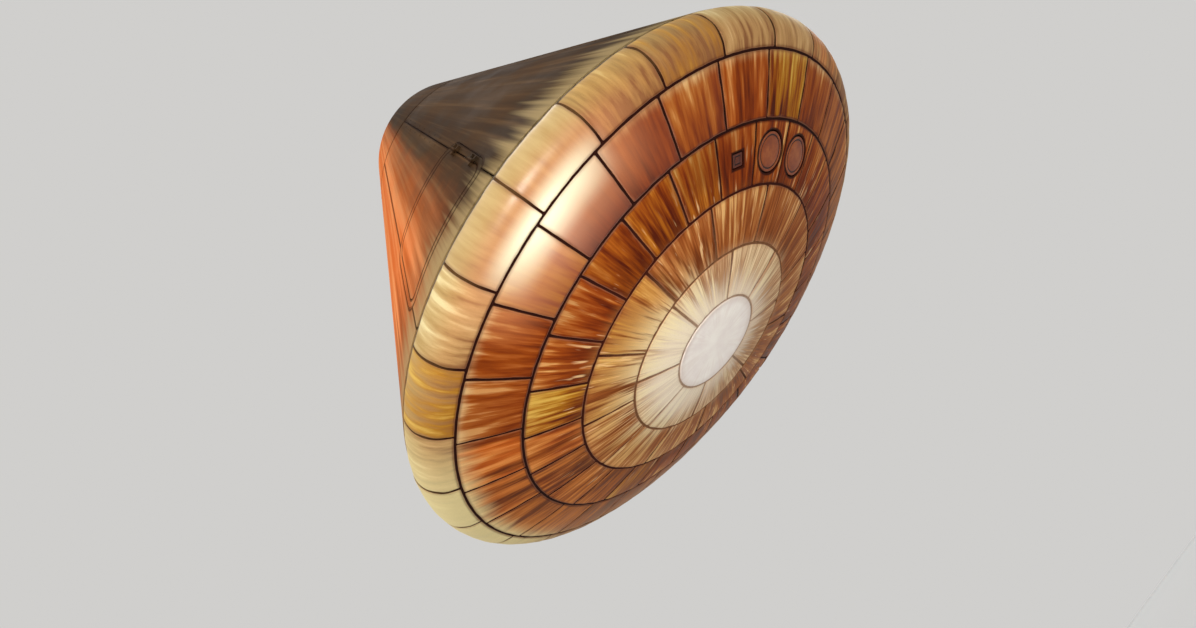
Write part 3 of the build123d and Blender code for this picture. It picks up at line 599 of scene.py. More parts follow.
def deck_mat():
    """Painted floor panels: seams every 0.46 m, screws along them, scuffed paint between."""
    M = Mat("floor_panel", Roughness=0.45)
    x, y, z = M.xyz()
    scuff = M.noise(M.scale(M.co, (3, 26, 3)), 2.0, 4.0, 0.6)
    blot = M.noise(M.co, 3.0, 4.0, 0.55)
    col = M.mix(M.step(blot, 0.35, 0.70), "#868a8d", "#70747a")
    col = M.mix(M.math("MULTIPLY", M.step(scuff, 0.58, 0.74), 0.45), col, "#a7a9a8")

    def to_line(v, pitch, shift):
        t = M.math("FRACT", M.math("DIVIDE", M.math("ADD", v, 50 * pitch + shift), pitch))
        return M.math("MULTIPLY", M.math("MINIMUM", t, M.math("SUBTRACT", 1.0, t)), pitch)
    gx, gy = to_line(x, 0.46, 0.23), to_line(y, 0.46, 0.10)
    line = M.step(M.math("MINIMUM", gx, gy), 0.0030, 0.0016)
    lip = M.step(M.math("MINIMUM", gx, gy), 0.012, 0.004)

    def screws(across, along):
        t = to_line(along, 0.115, 0.0575)
        d = M.math("SUBTRACT", across, 0.022)
        return M.math("SQRT", M.math("ADD", M.math("MULTIPLY", d, d), M.math("MULTIPLY", t, t)))
    far = M.math("MINIMUM", screws(gx, y), screws(gy, x))
    head, slot = M.step(far, 0.0070, 0.0060), M.step(far, 0.0026, 0.0020)
    col = M.mix(M.math("MULTIPLY", lip, 0.25), col, "#b4b6b5")
    col = M.mix(M.math("MULTIPLY", head, 0.8), col, "#9b9d9e")
    col = M.mix(M.math("MAXIMUM", M.math("MULTIPLY", line, 0.9), M.math("MULTIPLY", slot, 0.85)), col, "#1c1d1f")
    M.set(Base_Color=col)
    M.set(Roughness=M.step(blot, 0.3, 0.7, 0.38, 0.58))
    M.bump(M.math("SUBTRACT", M.math("MULTIPLY", head, 0.4), M.math("ADD", line, M.math("MULTIPLY", scuff, 0.08))), 0.4, 0.002)
    return M


ABL, PLUG, INSET_M, FILLER = ablator(), plug_mat(), inset_mat(), filler_mat()
SHELL = coating("side_wall", "#533c25", "#36271b", "#785a39")
COVER = coating("cover_skin", "#4b3521", "#34281d", "#664d30", liner="inside")
FRAME_M = coating("frame_coat", "#4c3826", "#31251a", "#68502f")
CHAR = paint("charred_dish", "#2a1208", "#140905", 0.9)
SEAL = paint("seal", "#6a5a44", "#2e261d", 0.85)
TINTED = metal("heat_tinted", "#8a7c70", 0.38, "#4c3a30")
ALU = metal("machined", "#b9babb", 0.34, "#8e8f90", scale=14)
STRUCT = paint("primer", "#c9cbbf", "#aeb0a2", 0.5)
FLOOR_M = deck_mat()
SEAT_M = paint("seat_paint", "#a9adb1", "#8a8e92", 0.4)
PAD_M = weave("seat_weave", "#2b3441", "#475467", 1300.0)
CHUTE_M = weave("pack_weave", "#9c5c26", "#c68547", 1100.0, "#5a3517", 0.4)
WELT_M = weave("piping_weave", "#1c222b", "#2f3946", 1900.0)
WEB_M = weave("webbing", "#54584a", "#74786a", 1700.0, "#33352c")
MORTAR_M = metal("mortar_metal", "#aeb0ae", 0.36, "#7b7c78", scale=20)
BELL_M, SCREEN_M = bell_mat(), screen_mat()
KEY_M = paint("switch_caps", "#b4b5b0", "#8c8e8a", 0.5, 40.0)
STUD_M = coating("fastener_coat", "#45331f", "#2c2116", "#5c4629", liner="")
CONSOLE_M = paint("console_shell", "#33373b", "#24272a", 0.55)
LOCKER_M = paint("locker_shell", "#cfcec7", "#b6b4ac", 0.48, 9.0, 0.12)

for n in NODES:
    if n.startswith("shield_"):
        give(n, ABL)
    elif n.startswith("backshell"):
        give(n, SHELL)
for n, m in {
    "shield_centre_plug": PLUG, "heat_shield_carrier": CHAR, "rim_seal_ring": SEAL, "side_hatch": SHELL,
    "hatch_frame": FRAME_M, "forward_cover": COVER, "window_frames": TINTED, "thruster_nozzles": TINTED,
    "forward_bulkhead": STRUCT, "docking_tunnel": STRUCT, "docking_ring": ALU, "docking_hatch_hinge": ALU,
    "docking_hatch": STRUCT, "parachute_packs": CHUTE_M, "drogue_mortars": ALU, "cabin_floor": FLOOR_M,
    "seat_frames": SEAT_M, "seat_pads": PAD_M, "leg_pads": PAD_M, "display_console": CONSOLE_M,
    "stowage_lockers": LOCKER_M, "hatch_handle": ALU,
}.items():
    give(n, m)

GLASS = Mat("glass", Roughness=0.03, IOR=1.46, Transmission_Weight=0.9)
GLASS.set(Base_Color=GLASS.mix(GLASS.noise(GLASS.co, 3.0), "#5b6468", "#6d7678"))
give("window_glass", GLASS)

# ------------------------------------------------------------------ shield blocks


E_R = 0.013          # rounding of a block's edges
KEYS = ("along", "across", "edge", "margin", "deep", "tint", "gold", "red", "glaze")


def edge_samples(length, e, n):
    """Positions along a block: close together at both rounded edges, even between."""
    t = [0, 0.06 * e, 0.2 * e, 0.45 * e, 0.75 * e, e, 2.2 * e]
    mid = list(np.linspace(2.2 * e, length - 2.2 * e, n))[1:-1]
    return np.array(t + mid + [length - v for v in reversed(t)])


def block_mesh(s0, s1, a0, a1, depth, ns, na, e, seed, tags):
    """One closed block: worn rounded edges, walls, back. Returns vertices, faces and the attributes of each vertex."""
    r = np.random.default_rng(seed)
    verts, faces, attrs = [], [], {k: [] for k in KEYS}
    ss = s0 + edge_samples(s1 - s0, e, ns)
    mid_r = meridian((s0 + s1) / 2)[0]
    width = mid_r * (a1 - a0) - JOINT_W
    tt = edge_samples(width, e, na) / width
    rows, cols = len(ss), len(tt)
    tone, lift = r.uniform(0, 1), r.uniform(0, 0.003)
    ph = r.uniform(0, 2 * math.pi, 8)

    def put(p, along, across, edge, margin, deep):
        verts.append(p)
        for k, val in zip(KEYS, (along, across, edge, margin, deep, tone, tags[0], tags[1], tags[2])):
            attrs[k].append(val)

    for s in ss:
        pr, pz, nr, nz = meridian(s)
        off = math.asin(JOINT_W / 2 / pr)
        lo, hi = a0 + off, a1 - off
        ds = min(s - s0, s1 - s)
        for t in tt:
            a = lo + (hi - lo) * t
            da = min(t, 1 - t) * width
            wear = 1 + 0.35 * math.sin(a * 61 + ph[0]) * math.sin(s * 23 + ph[1]) + 0.25 * math.sin(a * 143 + ph[2] + s * 41)
            ew = e * max(0.35, min(1.5, wear))
            u, v = max(0.0, 1 - ds / ew), max(0.0, 1 - da / ew)
            k = min(1.0, math.hypot(u, v))
            drop = ew * 0.75 * (1 - math.sqrt(max(0.0, 1 - k * k)))
            dip = 0.0009 * (math.sin(a * 37 + ph[3]) + math.sin(a * 71 + ph[4] + s)) + 0.0018
            d = drop + lift + dip
            rr, zz = pr - nr * d, pz - nz * d
            near = min(ds, da)
            put((rr * math.cos(a), rr * math.sin(a), zz), (s - s0) / (s1 - s0), t,
                min(1.0, k * 1.3) if k < 0.8 else max(0.0, 1 - (k - 0.8) * 5),
                max(0.0, 1 - near / 0.028), max(0.0, (k - 0.72) / 0.28))
    for i in range(rows - 1):
        for j in range(cols - 1):
            b = i * cols + j
            faces.append((b, b + 1, b + cols + 1, b + cols))
    loop = list(range(cols)) + [i * cols + cols - 1 for i in range(1, rows)]
    loop += [(rows - 1) * cols + j for j in range(cols - 2, -1, -1)] + [i * cols for i in range(rows - 2, 0, -1)]
    back = []
    for v in loop:
        i, j = divmod(v, cols)
        pr, pz, nr, nz = meridian(ss[i])
        off = math.asin(JOINT_W / 2 / pr)
        a = a0 + off + (a1 - a0 - 2 * off) * tt[j]
        rr, zz = pr - nr * depth, pz - nz * depth
        back.append(len(verts))
        put((rr * math.cos(a), rr * math.sin(a), zz), 0.5, 0.5, 0.0, 1.0, 1.0)
    n = len(loop)
    for k in range(n):
        faces.append((loop[(k + 1) % n], loop[k], back[k], back[(k + 1) % n]))
    pr, pz, nr, nz = meridian((s0 + s1) / 2)
    am = (a0 + a1) / 2
    rr, zz = pr - nr * depth, pz - nz * depth
    c = len(verts)
    put((rr * math.cos(am), rr * math.sin(am), zz), 0.5, 0.5, 0.0, 1.0, 1.0)
    for k in range(n):
        faces.append((back[(k + 1) % n], back[k], c))
    return verts, faces, attrs


def put_attrs(o, attrs):
    for k, vals in attrs.items():
        at = o.data.attributes.new(k, "FLOAT", "POINT")
        at.data.foreach_set("value", vals)


# columns: node, inner radius, outer radius (None: up to the side wall), blocks, azimuth of a joint,
# then gold, orange-red and glazed blocks as azimuth and strength
RINGS = [
    ("shield_inner_blocks", 0.439, 0.889, 8, 14.5, [], [], []),
    ("shield_second_blocks", 0.889, 1.356, 12, 17.5, [(-92, 0.75), (-118, 0.35)], [], []),
    ("shield_third_blocks", 1.356, 1.832, 24, 7.5, [(-120, 0.95), (-45, 0.30), (-60, 0.35), (-75, 0.20), (165, 0.4)], [(-135, 0.5)], []),
    ("shield_outer_blocks", 1.832, 2.310, 24, 11.5, [(-11, 0.85), (-86, 0.45), (-41, 0.10), (124, 0.6)], [(-131, 0.95), (-26, 0.2), (-146, 0.5)], [(-86, 0.9), (-71, 1.0), (-56, 0.6), (-41, 0.25)]),
    ("shield_shoulder_blocks", 2.310, None, 24, 13.5, [(-114, 0.9), (-39, 0.75), (-54, 0.4), (96, 0.5)], [(1, 0.5), (-159, 0.3)], [(-84, 0.8), (-69, 0.8)]),
]


def tag(rows, mid, step):
    return max([v for a, v in rows if abs((a - mid + 180) % 360 - 180) < step / 2], default=0.0)


def on_dish(frame_, x, y, depth):
    """Point this far under the dish's face, over (x, y) of a tangent plane."""
    o, ex, ey, n = frame_
    c = Vector((0, 0, ZC))
    d = (o + ex * x + ey * y - c).normalized()
    return c + d * (DISH_R - depth)




def outline(kind, half, corner, n):
    """Closed outline round the origin: a circle, or a square with rounded corners."""
    if kind == "round":
        return [(half * math.cos(2 * math.pi * k / n), half * math.sin(2 * math.pi * k / n)) for k in range(n)]
    out, q = [], n // 4
    for c in range(4):
        cx, cy = [(1, 1), (-1, 1), (-1, -1), (1, -1)][c]
        for k in range(q):
            a = math.pi / 2 * (c + k / (q - 1))
            out.append(((half - corner) * cx + corner * math.cos(a), (half - corner) * cy + corner * math.sin(a)))
    return out


def stacked(frame_, kind, rows, corner, n):
    """Closed lathe-like form on the dish from rows of (half width, depth)."""
    verts, faces = [], []
    for half, depth in rows:
        for x, y in outline(kind, half, corner * half / rows[0][0] if half > corner else half * 0.5, n):
            verts.append(on_dish(frame_, x, y, depth))
    for i in range(len(rows) - 1):
        for k in range(n):
            a, b = i * n + k, i * n + (k + 1) % n
            faces.append((a, b, b + n, a + n))
    for i, (half, depth) in ((0, rows[0]), (len(rows) - 1, rows[-1])):
        c = len(verts)
        verts.append(on_dish(frame_, 0, 0, depth))
        for k in range(n):
            a, b = i * n + k, i * n + (k + 1) % n
            faces.append((b, a, c) if i == 0 else (a, b, c))
    return verts, faces


def pocketed(verts, faces, az, kind):
    """Cuts the inset's pocket, with a rounded lip, into one block."""
    half = 0.165 if kind == "round" else 0.060
    fr = tangent(az, INSET_R)
    rows = [(half + 0.012, -0.03), (half + 0.012, -0.001), (half + 0.007, 0.0022), (half + 0.0025, 0.006), (half, 0.013), (half, 0.09)]
    cv, cf = stacked(fr, kind, rows, 0.010, 96 if kind == "round" else 48)
    block = new_obj("block_tmp", verts, faces, ABL)
    cut = new_obj("cut_tmp", cv, cf, ABL)
    for o in (block, cut):
        bm = bmesh.new()
        bm.from_mesh(o.data)
        bmesh.ops.recalc_face_normals(bm, faces=bm.faces)
        bm.to_mesh(o.data)
        bm.free()
    md = block.modifiers.new("cut", "BOOLEAN")
    md.operation, md.solver, md.object = "DIFFERENCE", "EXACT", cut
    dg = bpy.context.evaluated_depsgraph_get()
    me = bpy.data.meshes.new_from_object(block.evaluated_get(dg))
    v = [tuple(p.co) for p in me.vertices]
    f = [tuple(p.vertices) for p in me.polygons]
    for o in (block, cut):
        m = o.data
        bpy.data.objects.remove(o)
        bpy.data.meshes.remove(m)
    bpy.data.meshes.remove(me)
    return v, f, fr, half


blocks = {}
for node, r_in, r_out, count, az, golds, reds, glazes in RINGS:
    verts, faces, attrs = [], [], {k: [] for k in KEYS}
    s0 = s_of_r(r_in) + JOINT_W / 2
    s1 = (s_of_r(r_out) - JOINT_W / 2) if r_out else S_SHOULDER - 0.002
    step = 360 / count
    na = max(8, int(round(2 * math.pi * (r_in + 0.3) / count / 0.06)))
    ns = 10 if r_out else 22
    for k in range(count):
        lo = az + k * step
        mid = (lo + step / 2 + 180) % 360 - 180
        tags = (tag(golds, mid, step), tag(reds, mid, step), tag(glazes, mid, step))
        v, f, at = block_mesh(s0, s1, math.radians(lo), math.radians(lo + step), 0.070, ns, na, E_R, 1000 + k + count * len(node), tags)
        inset = [(a, kind) for a, kind in INSETS if abs((a - mid + 180) % 360 - 180) < 1] if node == "shield_third_blocks" else []
        if inset:
            tone = at["tint"][0]
            v, f, fr, half = pocketed(v, f, *inset[0])
            at = {k2: [] for k2 in KEYS}
            for p in v:
                p = Vector(p)
                rad = math.hypot(p.x, p.y)
                depth = DISH_R - (p - Vector((0, 0, ZC))).length
                s = DISH_R * math.atan2(rad, ZC - p.z)
                th = (math.degrees(math.atan2(p.y, p.x)) - mid + 180) % 360 - 180
                ds = min(s - s0, s1 - s)
                da = (math.radians(step / 2) - abs(math.radians(th))) * rad - JOINT_W / 2
                q = p - fr[0]
                x2, y2 = abs(q.dot(fr[1])), abs(q.dot(fr[2]))
                out = (math.hypot(x2, y2) if inset[0][1] == "round" else max(x2, y2)) - half
                near = max(0.0, min(ds, da))
                vals = ((s - s0) / (s1 - s0), 0.5 + th / step, 0.0, max(0.0, 1 - near / 0.028), min(1.0, max(0.0, (depth - 0.006) / 0.006)), tone, tags[0], tags[1], tags[2])
                for k2, val in zip(KEYS, vals):
                    at[k2].append(val)
        b = len(verts)
        verts += v
        faces += [tuple(i + b for i in q) for q in f]
        for k2 in KEYS:
            attrs[k2] += at[k2]
    o = new_obj(node + "_detail", verts, faces, ABL, "crew_module")
    put_attrs(o, attrs)
    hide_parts(node)
    blocks[node] = o

# filler in the joints, a little below the face
FILL_D, FILL_T, FILL_W = 0.0095, 0.030, JOINT_W / 2 + 0.0015
verts, faces = [], []


def strip(path, wide):
    """Closed bar under the dish's face along path [(s, azimuth)], wide to both sides: 's' for along, 'a' for round."""
    base = len(verts)
    for s, a in path:
        pr, pz, nr, nz = meridian(s)
        for side in (-1, 1):
            if wide == "s":
                q = meridian(s + side * FILL_W)
                a2 = a
            else:
                q = (pr, pz, nr, nz)
                a2 = a + side * FILL_W / pr
            for d in (FILL_D, FILL_T):
                verts.append(((q[0] - q[2] * d) * math.cos(a2), (q[0] - q[2] * d) * math.sin(a2), q[1] - q[3] * d))
    n = len(path)
    closed = wide == "s"
    for i in range(n if closed else n - 1):
        p, q = base + 4 * i, base + 4 * ((i + 1) % n)
        for u, v in ((0, 2), (2, 3), (3, 1), (1, 0)):
            faces.append((p + u, p + v, q + v, q + u))
    if not closed:
        faces.append((base, base + 1, base + 3, base + 2))
        e = base + 4 * (n - 1)
        faces.append((e, e + 2, e + 3, e + 1))


for r in (0.439, 0.889, 1.356, 1.832, 2.310):
    strip([(s_of_r(r), 2 * math.pi * k / 144) for k in range(144)], "s")
for node, r_in, r_out, count, az, *_ in RINGS:
    s0 = s_of_r(r_in) + FILL_W
    s1 = (s_of_r(r_out) - FILL_W) if r_out else S_SHOULDER - 0.004
    for k in range(count):
        a = math.radians(az + k * 360 / count)
        strip([(s0 + (s1 - s0) * i / (24 if not r_out else 8), a) for i in range(25 if not r_out else 9)], "a")
filler = new_obj("shield_joint_filler", verts, faces, FILLER, "crew_module", smooth=False)

# round covers, square plug and the flat disc in the middle: rounded edge, a groove inside it, a shallow dome
COVER_ROWS = [(0.156, 0.070), (0.156, 0.014), (0.1550, 0.010), (0.152, 0.0065), (0.148, 0.0050), (0.139, 0.0048), (0.135, 0.0062), (0.132, 0.012), (0.124, 0.0125),
              (0.121, 0.0072), (0.116, 0.0052), (0.090, 0.0042), (0.045, 0.0036), (0.015, 0.0034)]
SQUARE_ROWS = [(0.053, 0.070), (0.053, 0.013), (0.0520, 0.009), (0.049, 0.0064), (0.044, 0.0060), (0.036, 0.0064), (0.0335, 0.013), (0.027, 0.0134), (0.0245, 0.0075), (0.010, 0.0068)]
for node, kind, rows, n, corner in (("shield_round_covers", "round", COVER_ROWS, 96, 0.0), ("shield_square_plug", "square", SQUARE_ROWS, 48, 0.008)):
    verts, faces, deep = [], [], []
    for az, what in INSETS:
        if what == kind:
            v, f = stacked(tangent(az, INSET_R), kind, rows, corner, n)
            faces += [tuple(i + len(verts) for i in q) for q in f]
            verts += v
            deep += [min(1.0, max(0.0, (d - 0.0068) / 0.003)) for h, d in rows for _ in range(n)] + [1.0, 0.0]
    o = new_obj(node + "_detail", verts, faces, INSET_M, "crew_module")
    put_attrs(o, {"deep": deep, "dark": [0.9 if kind == "square" else 0.0] * len(deep)})
    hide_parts(node)

verts, faces, deep, n = [], [], [], 144
PLUG_ROWS = [(0.419, 0.060), (0.431, 0.055), (0.431, 0.014), (0.4302, 0.0095), (0.4278, 0.0055), (0.424, 0.0026), (0.419, 0.0010), (0.412, 0.0006), (0.38, 0.0008), (0.33, 0.0014), (0.27, 0.0008), (0.20, 0.0013), (0.13, 0.0007), (0.06, 0.0012), (0.02, 0.0010)]
for i, (rr, d) in enumerate(PLUG_ROWS):
    for k in range(n):
        a = 2 * math.pi * k / n
        w = 0.0006 * math.sin(3 * a + i) + 0.0005 * math.sin(7 * a + 2 * i) if 6 < i else 0.0
        verts.append((rr * math.cos(a), rr * math.sin(a), max(0.0, d + w)))
        deep.append(min(1.0, max(0.0, (d - 0.006) / 0.006)))
for i in range(len(PLUG_ROWS) - 1):
    for k in range(n):
        p, q = i * n + k, i * n + (k + 1) % n
        faces.append((p, q, q + n, p + n))
for i in (0, len(PLUG_ROWS) - 1):
    c = len(verts)
    verts.append((0, 0, PLUG_ROWS[i][1]))
    deep.append(1.0 if i == 0 else 0.0)
    for k in range(n):
        p, q = i * n + k, i * n + (k + 1) % n
        faces.append((q, p, c) if i == 0 else (p, q, c))
o = new_obj("shield_centre_plug_detail", verts, faces, PLUG, "crew_module")
put_attrs(o, {"deep": deep})
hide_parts("shield_centre_plug")

# ------------------------------------------------------------------ forms for the smaller pieces


def wall_at(az, s, depth=0.0):
    """Point of the side wall at this azimuth (radians), s up from the shoulder, this far under its face."""
    r = R0 - s * SA - depth * CA
    return Vector((r * math.cos(az), r * math.sin(az), Z0 + s * CA - depth * SA))


def s_of_z(z):
    return (z - Z0) / CA


def wall_frame(az, z):
    """The side wall's tangent plane: x goes round, y up the wall, z out of it."""
    a = math.radians(az)
    r = R0 - (z - Z0) * SA / CA
    x = Vector((-math.sin(a), math.cos(a), 0))
    n = Vector((math.cos(a) * CA, math.sin(a) * CA, SA))
    m = Matrix((x, n.cross(x), n)).transposed().to_4x4()
    m.translation = (r * math.cos(a), r * math.sin(a), z)
    return m


def on_cone(az, z):
    """Places (x, y, height) of the wall's tangent plane on the curved wall."""
    a0, s0 = math.radians(az), s_of_z(z)
    return lambda x, y, h: wall_at(a0 + x / (R0 - (s0 + y) * SA), s0 + y, -h)


def flat(x, y, h):
    return Vector((x, y, h))


def circle(r, n):
    return [(r * math.cos(2 * math.pi * k / n), r * math.sin(2 * math.pi * k / n)) for k in range(n)]


def rounded(corners, radius, arc=6, edge=4):
    """Counter-clockwise outline with rounded corners."""
    arcs, out, n = [], [], len(corners)
    for i in range(n):
        p, a, b = Vector(corners[i]), Vector(corners[i - 1]), Vector(corners[(i + 1) % n])
        u, v = (a - p).normalized(), (b - p).normalized()
        half = u.angle(v) / 2
        c = p + (u + v).normalized() * (radius / math.sin(half))
        d0, d1 = p + u * (radius / math.tan(half)) - c, p + v * (radius / math.tan(half)) - c
        a0, a1 = math.atan2(d0.y, d0.x), math.atan2(d1.y, d1.x)
        while a1 < a0:
            a1 += 2 * math.pi
        arcs.append([(c.x + radius * math.cos(a0 + (a1 - a0) * k / arc), c.y + radius * math.sin(a0 + (a1 - a0) * k / arc)) for k in range(arc + 1)])
    for i, pts in enumerate(arcs):
        p, q = pts[-1], arcs[(i + 1) % n][0]
        out += pts + [(p[0] + (q[0] - p[0]) * k / edge, p[1] + (q[1] - p[1]) * k / edge) for k in range(1, edge)]
    return out


def rect(hw, hh):
    return [(-hw, -hh), (hw, -hh), (hw, hh), (-hw, hh)]


def rounded_rect(hw, hh, corner, arc=6, edge=4):
    """Outline as a function of how far it is drawn in."""
    return lambda g: rounded(rect(hw - g, hh - g), max(0.0008, corner - g), arc, edge)


def stack(rows, place=flat, closed=False):
    """Skin over rows of (outline, height). Open stacks are capped, closed ones run back into themselves."""
    v, f, n, m = [], [], len(rows[0][0]), len(rows)
    for pts, h in rows:
        v += [place(x, y, h) for x, y in pts]
    for i in range(m if closed else m - 1):
        j = (i + 1) % m
        for k in range(n):
            l = (k + 1) % n
            f.append((i * n + k, i * n + l, j * n + l, j * n + k))
    if not closed:
        for i in (0, m - 1):
            pts, h = rows[i]
            c = len(v)
            v.append(place(sum(p[0] for p in pts) / n, sum(p[1] for p in pts) / n, h))
            for k in range(n):
                p, q = i * n + k, i * n + (k + 1) % n
                f.append((q, p, c) if i == 0 else (p, q, c))
    return v, f


def lathe(rows, n=48, closed=False):
    return stack([(circle(max(r, 0.0004), n), z) for r, z in rows], closed=closed)


def edged(fn, z0, z1, e, steps=3):
    """Rows of a slab from z0 to z1 with rounded edges."""
    t = [math.pi / 2 * k / steps for k in range(steps + 1)]
    return [(fn(e * (1 - math.sin(a))), z0 + e * (1 - math.cos(a))) for a in t] + [(fn(e * (1 - math.sin(a))), z1 - e * (1 - math.cos(a))) for a in reversed(t)]


def ring_rows(fn, width, z0, z1, e, steps=3):
    """Rows of a closed frame of this width, for a closed stack."""
    inner = edged(lambda g: fn(width - g), z0, z1, e, steps)
    return edged(fn, z0, z1, e, steps) + inner[::-1]


def tube(points, radius, n=8, closed=False):
    """Round tube along a path."""
    pts = [Vector(p) for p in points]
    m = len(pts)
    v, f = [], []
    side = None
    for i in range(m):
        a = pts[i - 1] if i or closed else pts[0]
        b = pts[(i + 1) % m] if i < m - 1 or closed else pts[-1]
        t = (b - a).normalized()
        if side is None:
            side = t.orthogonal().normalized()
        side = (side - t * side.dot(t)).normalized()
        up = t.cross(side)
        v += [pts[i] + (side * math.cos(2 * math.pi * k / n) + up * math.sin(2 * math.pi * k / n)) * radius for k in range(n)]
    for i in range(m if closed else m - 1):
        j = (i + 1) % m
        for k in range(n):
            l = (k + 1) % n
            f.append((i * n + k, i * n + l, j * n + l, j * n + k))
    if not closed:
        for i in (0, m - 1):
            c = len(v)
            v.append(pts[i])
            for k in range(n):
                p, q = i * n + k, i * n + (k + 1) % n
                f.append((q, p, c) if i == 0 else (p, q, c))
    return v, f


def ribbon(points, normals, sides, width, thick):
    """Flat webbing along a path, with slightly rounded edges."""
    v, f = [], []
    sec = [(-0.5, 0.15), (-0.47, 0.5), (0.47, 0.5), (0.5, 0.15), (0.5, -0.15), (0.47, -0.5), (-0.47, -0.5), (-0.5, -0.15)]
    for p, nrm, sd in zip(points, normals, sides):
        v += [Vector(p) + Vector(sd) * (u * width) + Vector(nrm) * (w * thick) for u, w in sec]
    m, n = len(points), len(sec)
    for i in range(m - 1):
        for k in range(n):
            l = (k + 1) % n
            f.append((i * n + k, i * n + l, (i + 1) * n + l, (i + 1) * n + k))
    f.append(tuple(range(n)))
    f.append(tuple((m - 1) * n + k for k in reversed(range(n))))
    return v, f


def outward(o):
    bm = bmesh.new()
    bm.from_mesh(o.data)
    bmesh.ops.recalc_face_normals(bm, faces=bm.faces)
    bm.to_mesh(o.data)
    bm.free()


class Form:
    """Closed forms joined into one mesh."""

    def __init__(self):
        self.v, self.f, self.a = [], [], {}

    def add(self, part, move=None, **attrs):
        b = len(self.v)
        self.v += [(move @ Vector(p)) if move is not None else Vector(p) for p in part[0]]
        self.f += [tuple(i + b for i in q) for q in part[1]]
        for k, val in attrs.items():
            self.a.setdefault(k, [0.0] * b)
        for k in self.a:
            val = attrs.get(k, 0.0)
            self.a[k] += list(val) if isinstance(val, (list, tuple)) else [val] * len(part[0])
        return self

    def piece(self, name, mat, body, slot, node=None, crease=38):
        o = new_obj(name, self.v, self.f, mat, body)
        put_attrs(o, self.a)
        outward(o)
        o.data.set_sharp_from_angle(angle=math.radians(crease))
        if node:
            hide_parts(node)
        return o


def bolt(r, h, sink=0.004, n=12):
    """Round head with a socket."""
    return lathe([(r, -sink), (r, h * 0.7), (r * 0.86, h), (r * 0.5, h), (r * 0.45, h * 0.3), (0.0, h * 0.3)], n)


def box_form(cx, cy, cz, sx, sy, sz, e=0.004):
    """Block with rounded edges, upright on its z."""
    fn = rounded_rect(sx / 2, sy / 2, max(e * 1.5, 0.002), 3, 1)
    v, f = stack(edged(fn, cz - sz / 2, cz + sz / 2, e, 2))
    return [p + Vector((cx, cy, 0)) for p in v], f


# ------------------------------------------------------------------ stuffed fabric


def stuffed(verts, faces, voxel, cap, pressure=4.0, frames=20):
    """The closed form as sewn cloth blown up from inside, each point at most cap from where it began."""
    o = new_obj("stuffed_tmp", verts, faces, PAD_M)
    outward(o)
    md = o.modifiers.new("remesh", "REMESH")
    md.mode, md.voxel_size = "VOXEL", voxel
    me = bpy.data.meshes.new_from_object(o.evaluated_get(bpy.context.evaluated_depsgraph_get()))
    o.modifiers.clear()
    old, o.data = o.data, me
    bpy.data.meshes.remove(old)

    def points(m):
        a = np.empty(len(m.vertices) * 3)
        m.vertices.foreach_get("co", a)
        return a.reshape(-1, 3)
    start = points(me)
    md = o.modifiers.new("cloth", "CLOTH")
    st = md.settings
    st.quality, st.mass = 4, 0.35
    st.tension_stiffness = st.compression_stiffness = 16
    st.shear_stiffness, st.bending_stiffness = 6, 0.8
    st.use_pressure, st.uniform_pressure_force = True, pressure
    st.effector_weights.gravity = 0
    md.point_cache.frame_start, md.point_cache.frame_end = 1, frames
    for k in range(1, frames + 1):
        scene.frame_set(k)
    done = bpy.data.meshes.new_from_object(o.evaluated_get(bpy.context.evaluated_depsgraph_get()))
    end = points(done)
    bpy.data.meshes.remove(done)
    scene.frame_set(1)
    move = end - start
    far = np.linalg.norm(move, axis=1, keepdims=True) + 1e-9
    out = start + move / far * cap * np.tanh(far / cap)
    quads = [tuple(p.vertices) for p in me.polygons]
    bpy.data.objects.remove(o)
    bpy.data.meshes.remove(me)
    return out, quads


def surface(verts, faces):
    return BVHTree.FromPolygons([Vector(p) for p in verts], faces)


def lie_on(tree, points, direction, back=0.3, lift=0.0):
    """The points moved along direction until they lie on the surface."""
    d = Vector(direction).normalized()
    out = []
    for p in points:
        hit = tree.ray_cast(Vector(p) - d * back, d, back * 3)[0]
        out.append((hit if hit is not None else Vector(p)) - d * lift)
    return out


def cushion(length, width, thick, voxel, cap, cross, along, depth=0.008):
    """Sewn cushion lying on z = 0: swollen sides, flat underside, channels across and along. Points as x, s, height."""
    inset = 0.6 * cap
    fn = rounded_rect(width / 2 - inset, length / 2 - inset, 0.035, 5, 3)
    v, f = stack(edged(fn, 0.008, thick - 0.6 * cap - 0.004, 0.016, 3))
    v, f = stuffed(v, f, voxel, cap)
    v[:, 1] += length / 2
    low = 0.0015
    v[:, 2] = np.where(v[:, 2] < 0.012, low + np.maximum(0.0, v[:, 2] + 0.010) * 0.02, v[:, 2])
    top = np.clip((v[:, 2] - thick * 0.45) / (thick * 0.2), 0, 1)
    dip = np.zeros(len(v))
    for y in cross:
        dip = np.maximum(dip, np.exp(-((v[:, 1] - y) / 0.0085) ** 2))
    for x in along:
        dip = np.maximum(dip, np.exp(-((v[:, 0] - x) / 0.0085) ** 2))
    v[:, 2] -= top * dip * depth
    return v, f


def welt(v, f, length, width, height, radius, n=72):
    """Piping round a cushion's edge at this height."""
    tree = surface(v, f)
    pts = []
    for x, y in rounded(rect(width / 2 + 0.05, length / 2 + 0.05), 0.08, 6, n // 4):
        p = Vector((x, y + length / 2, height))
        c = Vector((max(-width / 2 + 0.06, min(width / 2 - 0.06, x)), max(0.06, min(length - 0.06, y + length / 2)), height))
        hit = tree.ray_cast(p, (c - p).normalized(), 0.3)[0]
        if hit is not None and (not pts or (hit - pts[-1]).length > 0.004):
            pts.append(hit)
    return tube(pts, radius, 8, closed=True)


